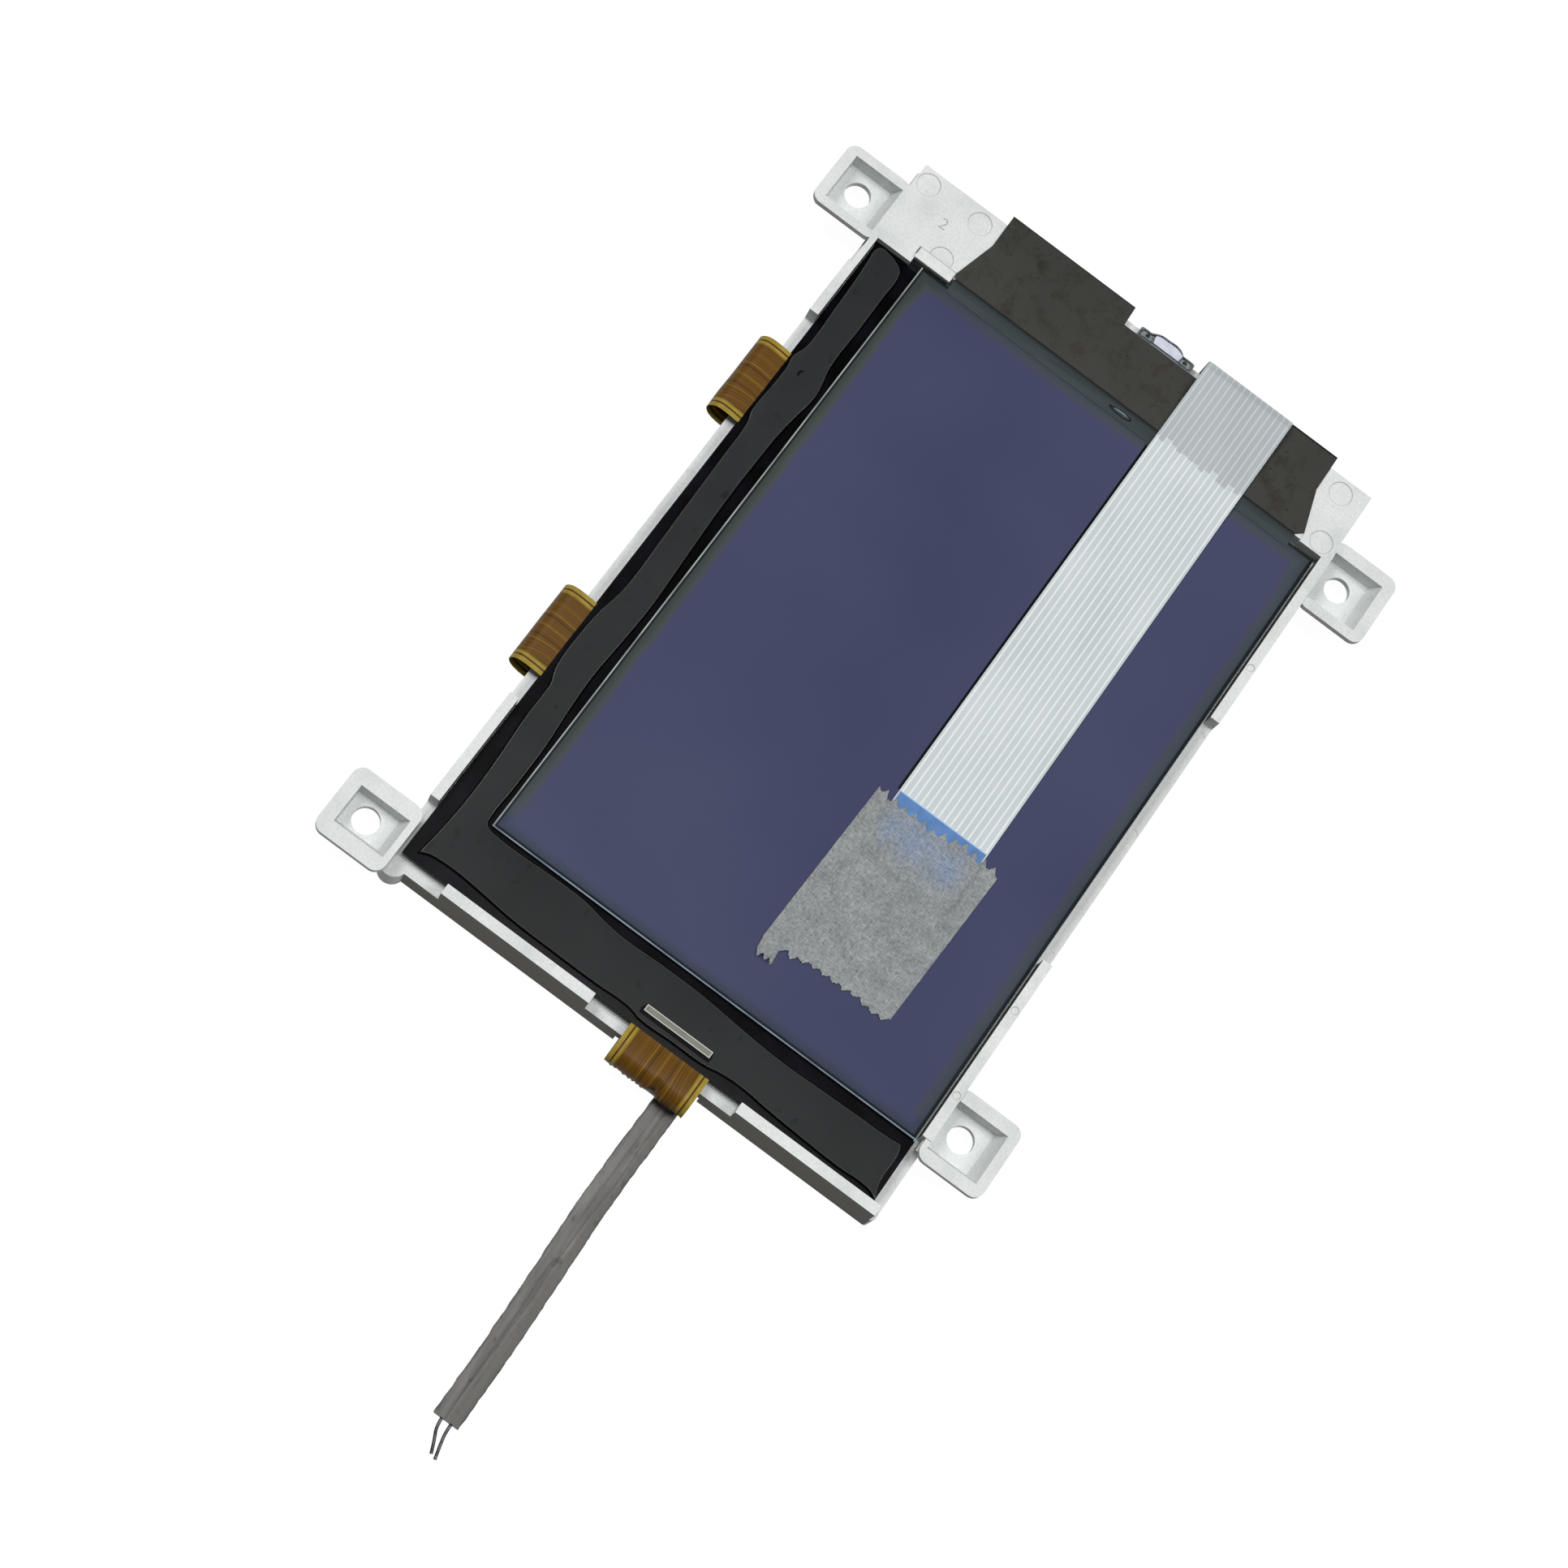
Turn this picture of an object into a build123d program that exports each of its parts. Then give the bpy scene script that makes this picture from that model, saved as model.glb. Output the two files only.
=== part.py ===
import math
import os

from build123d import *

os.makedirs("parts", exist_ok=True)

# Millimetres. x runs along the panel from its lead end to its flat cable end,
# y towards the side with two driver tapes, z out of the screen.
# Spans are given from the middle of the front glass; heights from the table.

# Moulded frame
frame_x = (-78.2, 79.95)
frame_y = (-45.05, 53.55)
low_rail_top = 5.3
high_rail_top = 9.3
plate_top = 9.0
plate_underside = 7.6
shelf_top = 5.7
web_underside = 2.9
lead_wall = 2.0
tape_wall = 1.75
plain_wall = 1.85
cable_wall = 1.85
frame_corner_radius = 0.8
plate_x = 65.1
plate_wing_x = 62.8
plate_wing_y = 44.8
plate_y = (-44.75, 53.0)
left_tab_x = (63.95, 66.1)
left_tab_y = (37.3, 44.8)
left_tab_top = 9.5
tab_clearance = 0.2
right_tab_x = (64.6, 66.3)
right_tab_y = (-45.05, -38.5)
side_wall_start = 56.0
plate_rib_end = 71.0
plate_notch_x = 77.6
plate_notch_y = (-27.6, 8.5)
tape_side_rails = ((43.9, side_wall_start), (-66.0, -44.0))
plain_side_rails = ((27.5, 65.3), (-62.6, -25.9))
lead_end_rails = ((13.0, 42.5), (frame_y[0] + frame_corner_radius, -16.3))
corner_post = (-77.6, 51.6)
corner_post_radius = 2.4

# Light guide pocket under the shelf, and the window through it
guide_pocket_x = (-71.5, 67.2)
guide_pocket_y = (-41.5, 41.5)
window_x = (-70.5, 61.5)
window_y = (-40.5, 40.5)
window_lip = 0.4
lip_underside = shelf_top - window_lip

# Mounting ears: rim, pocket mouth and hole centre, each as x then y
ears = (
    ((61.5, 74.9), (52.2, 65.6), (63.2, 73.1), (53.4, 63.5), (68.9, 59.4)),
    ((55.1, 69.7), (-57.3, -44.0), (57.05, 67.2), (-55.1, -45.0), (63.2, -49.25)),
    ((-66.05, -51.65), (-56.8, -44.0), (-63.8, -54.05), (-54.9, -45.0), (-58.3, -49.25)),
    ((-81.9, -68.7), (52.2, 65.6), (-79.05, -71.55), (53.4, 63.2), (-74.9, 59.4)),
)
ear_corner_radius = 2.0
ear_rim_thickness = 1.3
ear_cup_wall = 1.1
ear_floor_top = 5.4
ear_floor_thickness = 1.3
ear_floor_shift_x = 1.3
ear_floor_shift_y = 1.6
ear_hole_radius = 2.4

# Ejector pin marks in the frame face: centre and height of the face they are in
mark_depth = 0.12
plate_mark_radius = 2.2
plate_marks = ((77.0, 50.5), (76.9, 39.2), (66.9, 40.9), (77.0, -39.8), (67.0, -41.8))
rail_mark_radius = 0.7
high_rail_marks = ((39.4, -44.12), (-36.1, -44.12), (-53.8, -44.12))
low_rail_marks = ((25.3, -44.12), (3.4, -44.12), (-23.0, -44.12), (-65.0, -44.12))

# Liquid crystal cell
glass_thickness = 1.1
rear_glass_underside = 6.0
rear_glass_top = rear_glass_underside + glass_thickness
front_glass_top = rear_glass_top + glass_thickness
front_glass_x = (-63.75, 63.75)
front_glass_y = (-42.65, 42.65)
rear_glass_x = (-75.8, 63.75)
rear_glass_y = (-42.65, 51.2)
polarizer_thickness = 0.2
polarizer_inset = 0.45
polarizer_top = front_glass_top + polarizer_thickness
rear_polarizer_x = (-70.6, 61.4)
rear_polarizer_y = (-40.6, 40.6)
cushion_x = (-75.3, 63.2)
cushion_y = (-42.3, 50.6)
cushion_hole_x = (-71.2, 61.7)
cushion_hole_y = (-41.2, 41.2)

# Black sealant on the two ledges of the rear glass
sealant_top = 8.0
sealant_skin_top = 7.35
tape_side_crown_x = (-74.0, 61.0)
tape_side_crown_y = (43.2, 48.7)
lead_side_crown_x = (-74.1, -64.2)
lead_side_crown_y = (-42.1, 48.7)
crown_end_radius = 2.0
driver_bar_x = (-73.3, -72.1)
driver_bar_y = (-7.9, 5.2)
driver_bar_height = 0.15

# Driver tapes: a loop from the glass ledge round the frame to the rear board
tape_thickness = 0.1
tape_bend_radius = 2.3
tape_lift = 0.75
tape_lift_radius = 6.0
upper_tape_x = (19.6, 35.9)
lower_tape_x = (-38.0, -21.9)
side_tape_bond = 47.0
side_tape_out = 51.6
side_tape_bulge = 57.2
side_tape_end = 43.6
end_tape_y = (-10.0, 5.6)
end_tape_bond = 72.0
end_tape_out = 76.1
end_tape_bulge = 82.85
end_tape_end = 68.5
tape_notch_clearance = 0.7
tape_notch_height = 2.6
driver_chip_length = 12.0
driver_chip_height = 1.0
driver_chip_thickness = 0.5

# Rear board and the back light above it
board_thickness = 1.0
board_underside = web_underside - board_thickness
board_x = (-75.5, 76.0)
board_y = (-42.6, 50.2)
reflector_thickness = 0.2
guide_thickness = 2.0
guide_clearance = 0.15
guide_end = 64.8
lamp_bar_x = (64.95, 67.05)
lamp_bar_y = (-38.0, 38.0)
reflector_top = web_underside + reflector_thickness
guide_top = reflector_top + guide_thickness

# Screws from the back through the board into the frame
screws = ((-60.0, 46.0), (-8.0, 46.0), (52.0, 46.0), (-73.85, -34.0), (-73.85, 30.0), (69.1, -34.0))
screw_radius = 1.0
screw_clearance = 0.15
screw_depth = 2.2
screw_head_radius = 1.9
screw_head_height = 1.1
screw_slot_width = 0.5
screw_slot_depth = 0.45

# Black sheet folded over the plate
sheet_thickness = 0.2
sheet_outline = (
    (82.0, 35.2), (82.0, 8.6), (77.95, 8.4), (77.95, -26.7), (82.2, -26.7), (82.2, -35.7),
    (74.7, -35.8), (66.4, -38.4), (65.15, -37.0), (65.15, 36.6), (66.2, 37.2), (74.8, 35.1),
)

# Flat cable from the rear connector, round the end and over the screen
cable_y = (-25.75, -7.45)
cable_thickness = 0.3
cable_rear = 66.0
cable_rear_height = 1.0
cable_fold = 82.4
cable_fold_top = 10.6
cable_fold_radius = 3.9
cable_crease = (65.0, 9.35)
cable_landing = 58.0
cable_front_end = -29.0
cable_soft_radius = 8.0
cable_notch_clearance = 0.6
stiffener_x = (cable_front_end, -16.8)
stiffener_thickness = 0.2
stiffener_inset = 0.3
masking_thickness = 0.2
masking_x = (-50.8, -18.8)
masking_step_x = (-32.0, -29.5)
masking_step_radius = 1.0
masking_y = (-28.6, -3.9)

# Lamp lead: a flat sleeve on the table with two bare wires at its end
sleeve_width = 4.3
sleeve_thickness = 1.5
bend_share = 0.45
sleeve_route = (
    (-68.3, -7.1), (-84.0, -7.1), (-100.0, -6.8), (-117.0, -7.5), (-131.0, -8.0), (-143.7, -8.0),
)
wire_radius = 0.28
wire_starts = ((-143.7, -7.2), (-143.7, -9.0))
wire_ends = ((-149.1, -9.2), (-149.5, -10.2))
wire_heights = (0.6, 0.31)
wire_straight = 1.3
wire_bend_radius = 3.0
terminal_x = (-68.3, -64.0)
terminal_y = (-9.8, -4.4)
terminal_underside = 0.2

# Lamp holder standing in the plate notch
holder_x = (78.15, 80.1)
holder_y = (-5.9, 5.7)
holder_top = 8.9
holder_lug_corner = 0.4
holder_lug_thickness = 0.5
holder_lug_holes = ((79.1, 3.9), (79.1, -4.2))
holder_lug_hole_radius = 0.45
lamp_block_x = (78.5, 80.3)
lamp_block_y = (-3.0, 2.4)
lamp_block_rise = 0.5

# Parts on the back of the board
controller_centre = (22.0, -8.0)
controller_side = 14.0
controller_leads = 16
controller_lead_pitch = 0.8
memory_centre = (-14.0, -8.0)
memory_length = 18.0
memory_width = 8.4
memory_leads = 14
memory_lead_pitch = 1.27
amplifier_centre = (-42.0, 20.0)
amplifier_length = 8.7
amplifier_width = 4.0
amplifier_leads = 7
chip_height = 1.3
chip_stand_off = 0.1
lead_length = 1.0
lead_width = 0.35
lead_thickness = 0.2
capacitor_size = (2.0, 1.25, 0.8)
capacitor_row_x = (-34.0, -26.0, -18.0, -10.0, -2.0, 6.0, 14.0)
capacitor_row_y = 33.0
capacitor_column = ((40.0, -24.0), (40.0, -18.0), (40.0, 4.0), (40.0, 10.0))
storage_size = (6.0, 3.2, 1.5)
storage_places = ((-40.0, -26.0), (-28.0, -26.0), (-16.0, -26.0))
trimmer_centre = (52.0, 30.0)
trimmer_side = 4.4
trimmer_height = 1.5
trimmer_dial_radius = 1.6
trimmer_dial_rise = 0.1
trimmer_slot_width = 0.5
trimmer_slot_length = 2.1
connector_x = (60.4, cable_rear)
connector_margin = 1.9
connector_underside = 0.3

# Bottom centre of everything but the lead stands at the origin
tape_bulge_skin = tape_thickness / 2
centre_x = (end_tape_bulge + tape_bulge_skin - cable_fold - cable_thickness / 2) / 2
centre_y = -(ears[0][1][1] + ears[1][1][0]) / 2


def level(height):
    return Plane(origin=(centre_x, centre_y, height))


def middle(span):
    return (span[0] + span[1]) / 2


def width(span):
    return span[1] - span[0]


def grown(span, amount):
    return (span[0] - amount, span[1] + amount)


def block(x, y, z, mode=Mode.ADD, corner=0.0):
    with BuildSketch(level(z[0])) as outline:
        with Locations((middle(x), middle(y))):
            if corner:
                RectangleRounded(width(x), width(y), corner)
            else:
                Rectangle(width(x), width(y))
    extrude(outline.sketch, amount=width(z), mode=mode)


def peg(centre, radius, z, mode=Mode.ADD):
    with BuildSketch(level(z[0])) as outline:
        with Locations(centre):
            Circle(radius)
    extrude(outline.sketch, amount=width(z), mode=mode)


def taper(x_low, y_low, z_low, x_high, y_high, z_high, mode=Mode.ADD):
    with BuildSketch(level(z_low)) as lower:
        with Locations((middle(x_low), middle(y_low))):
            Rectangle(width(x_low), width(y_low))
    with BuildSketch(level(z_high)) as upper:
        with Locations((middle(x_high), middle(y_high))):
            Rectangle(width(x_high), width(y_high))
    loft([lower.sketch, upper.sketch], mode=mode)


inner_x = (frame_x[0] + lead_wall, frame_x[1] - cable_wall)
inner_y = (frame_y[0] + plain_wall, frame_y[1] - tape_wall)
front_glass_roof = polarizer_top + tab_clearance
plate_end = (plate_notch_x, frame_x[1] + cable_thickness)
rails = (low_rail_top, high_rail_top)

with BuildPart() as frame:
    block(frame_x, frame_y, (0, low_rail_top), corner=frame_corner_radius)
    block((inner_x[0], plate_x), inner_y, (low_rail_top, shelf_top))
    for x in tape_side_rails:
        block(x, (inner_y[1], frame_y[1]), rails)
    for x in plain_side_rails:
        block(x, (frame_y[0], inner_y[0]), rails)
    for y in lead_end_rails:
        block((frame_x[0], inner_x[0]), y, rails)
    block((side_wall_start, frame_x[1]), (inner_y[1], plate_y[1]), (low_rail_top, plate_top))
    block((plate_x, frame_x[1]), (plate_y[0], inner_y[0]), (low_rail_top, plate_top))
    block((inner_x[1], frame_x[1]), plate_y, (low_rail_top, plate_underside))
    block((plate_x, plate_rib_end), plate_y, (low_rail_top, plate_underside))
    block((plate_x, frame_x[1]), plate_y, (plate_underside, plate_top))
    block((plate_wing_x, plate_x), (plate_wing_y, plate_y[1]), (plate_underside, plate_top))
    peg(corner_post, corner_post_radius, (0, low_rail_top))
    for rim_x, rim_y, mouth_x, mouth_y, hole in ears:
        floor_x = (mouth_x[0] + ear_floor_shift_x, mouth_x[1])
        floor_y = (mouth_y[0] + ear_floor_shift_y, mouth_y[1])
        rim = (plate_top - ear_rim_thickness, plate_top)
        block(rim_x, rim_y, rim, corner=ear_corner_radius)
        taper(
            grown(floor_x, ear_cup_wall), grown(floor_y, ear_cup_wall),
            ear_floor_top - ear_floor_thickness,
            grown(mouth_x, ear_cup_wall), grown(mouth_y, ear_cup_wall), rim[0],
        )
    block(inner_x, inner_y, (0, web_underside), mode=Mode.SUBTRACT)
    block((plate_rib_end, inner_x[1]), inner_y, (web_underside, plate_underside), mode=Mode.SUBTRACT)
    block(guide_pocket_x, guide_pocket_y, (web_underside, lip_underside), mode=Mode.SUBTRACT)
    block(window_x, window_y, (lip_underside, shelf_top), mode=Mode.SUBTRACT)
    for rim_x, rim_y, mouth_x, mouth_y, hole in ears:
        floor_x = (mouth_x[0] + ear_floor_shift_x, mouth_x[1])
        floor_y = (mouth_y[0] + ear_floor_shift_y, mouth_y[1])
        taper(floor_x, floor_y, ear_floor_top, mouth_x, mouth_y, plate_top, mode=Mode.SUBTRACT)
        peg(hole, ear_hole_radius, (ear_floor_top - ear_floor_thickness, ear_floor_top), mode=Mode.SUBTRACT)
    block(plate_end, plate_notch_y, (plate_underside, plate_top), mode=Mode.SUBTRACT)
    for x in (upper_tape_x, lower_tape_x):
        block(
            grown(x, tape_notch_clearance), (inner_y[1], frame_y[1]),
            (0, tape_notch_height), mode=Mode.SUBTRACT,
        )
    block(
        (frame_x[0], inner_x[0]), grown(end_tape_y, tape_notch_clearance),
        (0, tape_notch_height), mode=Mode.SUBTRACT,
    )
    block(
        (inner_x[1], frame_x[1]), grown(cable_y, cable_notch_clearance),
        (0, tape_notch_height), mode=Mode.SUBTRACT,
    )
    for place in screws:
        peg(place, screw_radius, (web_underside, web_underside + screw_depth), mode=Mode.SUBTRACT)
    for place in plate_marks:
        peg(place, plate_mark_radius, (plate_top - mark_depth, plate_top), mode=Mode.SUBTRACT)
    for place in high_rail_marks:
        peg(place, rail_mark_radius, (high_rail_top - mark_depth, high_rail_top), mode=Mode.SUBTRACT)
    for place in low_rail_marks:
        peg(place, rail_mark_radius, (low_rail_top - mark_depth, low_rail_top), mode=Mode.SUBTRACT)
    block(left_tab_x, left_tab_y, (front_glass_roof, left_tab_top))
    block(right_tab_x, right_tab_y, (plate_underside, high_rail_top))

with BuildPart() as rear_glass:
    block(rear_glass_x, rear_glass_y, (rear_glass_underside, rear_glass_top))

with BuildPart() as front_glass:
    block(front_glass_x, front_glass_y, (rear_glass_top, front_glass_top))

with BuildPart() as front_polarizer:
    block(
        grown(front_glass_x, -polarizer_inset), grown(front_glass_y, -polarizer_inset),
        (front_glass_top, polarizer_top),
    )

with BuildPart() as rear_polarizer:
    block(
        rear_polarizer_x, rear_polarizer_y,
        (rear_glass_underside - polarizer_thickness, rear_glass_underside),
    )

with BuildPart() as glass_cushion:
    block(cushion_x, cushion_y, (shelf_top, rear_glass_underside))
    block(cushion_hole_x, cushion_hole_y, (shelf_top, rear_glass_underside), mode=Mode.SUBTRACT)

skin = (rear_glass_top, sealant_skin_top)
crown = (rear_glass_top, sealant_top)
bonded = (rear_glass_top, rear_glass_top + tape_thickness)
with BuildPart() as ledge_sealant:
    block((rear_glass_x[0], plate_wing_x - guide_clearance), (front_glass_y[1], rear_glass_y[1]), skin)
    block((rear_glass_x[0], front_glass_x[0]), (rear_glass_y[0], front_glass_y[1]), skin)
    block(tape_side_crown_x, tape_side_crown_y, crown, corner=crown_end_radius)
    block(lead_side_crown_x, lead_side_crown_y, crown, corner=crown_end_radius)
    for x in (upper_tape_x, lower_tape_x):
        block(x, (side_tape_bond, rear_glass_y[1]), bonded, mode=Mode.SUBTRACT)
    block((rear_glass_x[0], -end_tape_bond), end_tape_y, bonded, mode=Mode.SUBTRACT)

with BuildPart() as driver_bar:
    block(driver_bar_x, driver_bar_y, (sealant_top, sealant_top + driver_bar_height))

bond_height = rear_glass_top + tape_thickness / 2
solder_height = board_underside - tape_thickness / 2


def tape_course(bond, out, bulge, end):
    points = (
        (bond, bond_height), (out, bond_height), (bulge, bond_height + tape_lift),
        (bulge, solder_height), (end, solder_height),
    )
    return FilletPolyline(*points, radius=(tape_lift_radius, tape_bend_radius, tape_bend_radius))


def side_plane(x):
    return Plane(origin=(centre_x + x, centre_y, 0), x_dir=(0, 1, 0), z_dir=(1, 0, 0))


def end_plane(y):
    return Plane(origin=(centre_x, centre_y + y, 0), x_dir=(-1, 0, 0), z_dir=(0, 1, 0))


with BuildPart() as driver_tape_upper:
    with BuildSketch(side_plane(upper_tape_x[0])) as upper_tape_edge:
        with BuildLine():
            tape_course(side_tape_bond, side_tape_out, side_tape_bulge, side_tape_end)
        trace(line_width=tape_thickness)
    extrude(amount=width(upper_tape_x))

with BuildPart() as driver_tape_lower:
    with BuildSketch(side_plane(lower_tape_x[0])) as lower_tape_edge:
        with BuildLine():
            tape_course(side_tape_bond, side_tape_out, side_tape_bulge, side_tape_end)
        trace(line_width=tape_thickness)
    extrude(amount=width(lower_tape_x))

with BuildPart() as driver_tape_end:
    with BuildSketch(end_plane(end_tape_y[0])) as end_tape_edge:
        with BuildLine():
            tape_course(end_tape_bond, end_tape_out, end_tape_bulge, end_tape_end)
        trace(line_width=tape_thickness)
    extrude(amount=width(end_tape_y))

chip_bottom = solder_height + tape_bend_radius + tape_bulge_skin
chip_z = (chip_bottom, chip_bottom + driver_chip_height)
chip_side_y = (
    side_tape_bulge - tape_bulge_skin - driver_chip_thickness, side_tape_bulge - tape_bulge_skin,
)
chip_end_x = (
    tape_bulge_skin - end_tape_bulge, tape_bulge_skin - end_tape_bulge + driver_chip_thickness,
)


def chip_span(span):
    return (middle(span) - driver_chip_length / 2, middle(span) + driver_chip_length / 2)


with BuildPart() as driver_chip_upper:
    block(chip_span(upper_tape_x), chip_side_y, chip_z)

with BuildPart() as driver_chip_lower:
    block(chip_span(lower_tape_x), chip_side_y, chip_z)

with BuildPart() as driver_chip_end:
    block(chip_end_x, chip_span(end_tape_y), chip_z)

with BuildPart() as rear_board:
    block(board_x, board_y, (board_underside, web_underside))
    for place in screws:
        peg(
            place, screw_radius + screw_clearance,
            (board_underside, web_underside), mode=Mode.SUBTRACT,
        )

with BuildPart() as reflector_sheet:
    block(
        (guide_pocket_x[0] + guide_clearance, guide_end), grown(guide_pocket_y, -guide_clearance),
        (web_underside, reflector_top),
    )

with BuildPart() as light_guide:
    block(
        (guide_pocket_x[0] + guide_clearance, guide_end), grown(guide_pocket_y, -guide_clearance),
        (reflector_top, guide_top),
    )

with BuildPart() as diffuser_sheet:
    block(
        (guide_pocket_x[0] + guide_clearance, guide_end), grown(guide_pocket_y, -guide_clearance),
        (guide_top, lip_underside),
    )

with BuildPart() as lamp_bar:
    block(lamp_bar_x, lamp_bar_y, (web_underside, guide_top))

with BuildPart() as board_screws:
    for place in screws:
        peg(place, screw_radius, (board_underside, web_underside + screw_depth))
        peg(place, screw_head_radius, (board_underside - screw_head_height, board_underside))
        head = board_underside - screw_head_height
        slot = (head, head + screw_slot_depth)
        across = (place[0] - screw_head_radius, place[0] + screw_head_radius)
        along = (place[1] - screw_slot_width / 2, place[1] + screw_slot_width / 2)
        block(across, along, slot, mode=Mode.SUBTRACT)

with BuildPart() as black_sheet:
    with BuildSketch(level(plate_top)) as sheet_face:
        with BuildLine():
            Polyline(*sheet_outline, close=True)
        make_face()
    extrude(amount=sheet_thickness)

cable_course_points = (
    (-cable_rear, cable_rear_height), (-cable_fold, cable_rear_height),
    (-cable_fold, cable_fold_top), (-cable_crease[0], cable_crease[1]),
    (-cable_landing, polarizer_top + cable_thickness / 2),
    (-cable_front_end, polarizer_top + cable_thickness / 2),
)
with BuildPart() as flat_cable:
    with BuildSketch(end_plane(cable_y[0])) as cable_edge:
        with BuildLine():
            FilletPolyline(
                *cable_course_points,
                radius=(cable_fold_radius, cable_fold_radius, cable_soft_radius, cable_soft_radius),
            )
        trace(line_width=cable_thickness)
    extrude(amount=width(cable_y))

stiffener_underside = polarizer_top + cable_thickness
stiffener_top = stiffener_underside + stiffener_thickness
with BuildPart() as cable_stiffener:
    block(stiffener_x, grown(cable_y, -stiffener_inset), (stiffener_underside, stiffener_top))

masking_course_points = (
    (-masking_x[1], stiffener_top + masking_thickness / 2),
    (-masking_step_x[1], stiffener_top + masking_thickness / 2),
    (-masking_step_x[0], polarizer_top + masking_thickness / 2),
    (-masking_x[0], polarizer_top + masking_thickness / 2),
)
with BuildPart() as masking_tape:
    with BuildSketch(end_plane(masking_y[0])) as masking_edge:
        with BuildLine():
            FilletPolyline(*masking_course_points, radius=masking_step_radius)
        trace(line_width=masking_thickness)
    extrude(amount=width(masking_y))

with BuildPart() as lamp_holder:
    block(holder_x, holder_y, (plate_underside, holder_top - holder_lug_thickness))
    block(
        holder_x, holder_y, (holder_top - holder_lug_thickness, holder_top),
        corner=holder_lug_corner,
    )
    for place in holder_lug_holes:
        peg(place, holder_lug_hole_radius, (plate_underside, holder_top), mode=Mode.SUBTRACT)

with BuildPart() as lamp_block:
    block(lamp_block_x, lamp_block_y, (holder_top, holder_top + lamp_block_rise))


def packaged_chip(centre, length, depth, leads, pitch, four_sided=False):
    body_top = board_underside - chip_stand_off
    x = (centre[0] - length / 2, centre[0] + length / 2)
    y = (centre[1] - depth / 2, centre[1] + depth / 2)
    block(x, y, (body_top - chip_height, body_top))
    lead_z = (board_underside - lead_thickness, board_underside)
    for count in range(leads):
        along = (count - (leads - 1) / 2) * pitch
        pin = (along - lead_width / 2, along + lead_width / 2)
        lead_x = (centre[0] + pin[0], centre[0] + pin[1])
        block(lead_x, grown(y, lead_length), lead_z)
        if four_sided:
            lead_y = (centre[1] + pin[0], centre[1] + pin[1])
            block(grown(x, lead_length), lead_y, lead_z)


with BuildPart() as controller_chip:
    packaged_chip(
        controller_centre, controller_side, controller_side,
        controller_leads, controller_lead_pitch, four_sided=True,
    )

with BuildPart() as memory_chip:
    packaged_chip(memory_centre, memory_length, memory_width, memory_leads, memory_lead_pitch)

with BuildPart() as bias_amplifier:
    packaged_chip(
        amplifier_centre, amplifier_length, amplifier_width, amplifier_leads, memory_lead_pitch,
    )

with BuildPart() as chip_capacitors:
    for x in capacitor_row_x:
        block(
            (x - capacitor_size[0] / 2, x + capacitor_size[0] / 2),
            (capacitor_row_y - capacitor_size[1] / 2, capacitor_row_y + capacitor_size[1] / 2),
            (board_underside - capacitor_size[2], board_underside),
        )
    for place in capacitor_column:
        block(
            (place[0] - capacitor_size[0] / 2, place[0] + capacitor_size[0] / 2),
            (place[1] - capacitor_size[1] / 2, place[1] + capacitor_size[1] / 2),
            (board_underside - capacitor_size[2], board_underside),
        )

with BuildPart() as storage_capacitors:
    for place in storage_places:
        block(
            (place[0] - storage_size[0] / 2, place[0] + storage_size[0] / 2),
            (place[1] - storage_size[1] / 2, place[1] + storage_size[1] / 2),
            (board_underside - storage_size[2], board_underside),
        )

with BuildPart() as contrast_trimmer:
    trimmer_face = board_underside - trimmer_height
    trimmer_x = (trimmer_centre[0] - trimmer_side / 2, trimmer_centre[0] + trimmer_side / 2)
    trimmer_y = (trimmer_centre[1] - trimmer_side / 2, trimmer_centre[1] + trimmer_side / 2)
    block(trimmer_x, trimmer_y, (trimmer_face, board_underside))
    peg(trimmer_centre, trimmer_dial_radius, (trimmer_face - trimmer_dial_rise, trimmer_face))
    slot_reach = trimmer_slot_length / 2
    dial_slot = (trimmer_face - trimmer_dial_rise, trimmer_face + trimmer_slot_width)
    long_x = (trimmer_centre[0] - slot_reach, trimmer_centre[0] + slot_reach)
    short_y = (
        trimmer_centre[1] - trimmer_slot_width / 2, trimmer_centre[1] + trimmer_slot_width / 2,
    )
    block(long_x, short_y, dial_slot, mode=Mode.SUBTRACT)

with BuildPart() as cable_connector:
    block(connector_x, grown(cable_y, connector_margin), (connector_underside, board_underside))

with BuildPart() as lead_terminal:
    block(terminal_x, terminal_y, (terminal_underside, board_underside))


def corner_radii(route):
    radii = []
    for before, here, after in zip(route, route[1:], route[2:]):
        run_in = math.dist(before, here)
        run_out = math.dist(here, after)
        heading_in = math.atan2(here[1] - before[1], here[0] - before[0])
        heading_out = math.atan2(after[1] - here[1], after[0] - here[0])
        turn = abs(math.remainder(heading_out - heading_in, 2 * math.pi))
        radii.append(bend_share * min(run_in, run_out) / math.tan(turn / 2))
    return radii


sleeve_radii = corner_radii(sleeve_route)
with BuildPart() as lead_sleeve:
    with BuildLine(level(sleeve_thickness / 2)) as sleeve_course:
        FilletPolyline(*sleeve_route, radius=sleeve_radii)
    sleeve_start = Vector(sleeve_course.line @ 0)
    sleeve_heading = Vector(sleeve_course.line % 0)
    with BuildSketch(
        Plane(origin=sleeve_start, x_dir=sleeve_heading.cross(Vector(0, 0, 1)), z_dir=sleeve_heading)
    ) as sleeve_section:
        SlotOverall(sleeve_width, sleeve_thickness)
    sweep(path=sleeve_course.line)

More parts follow.
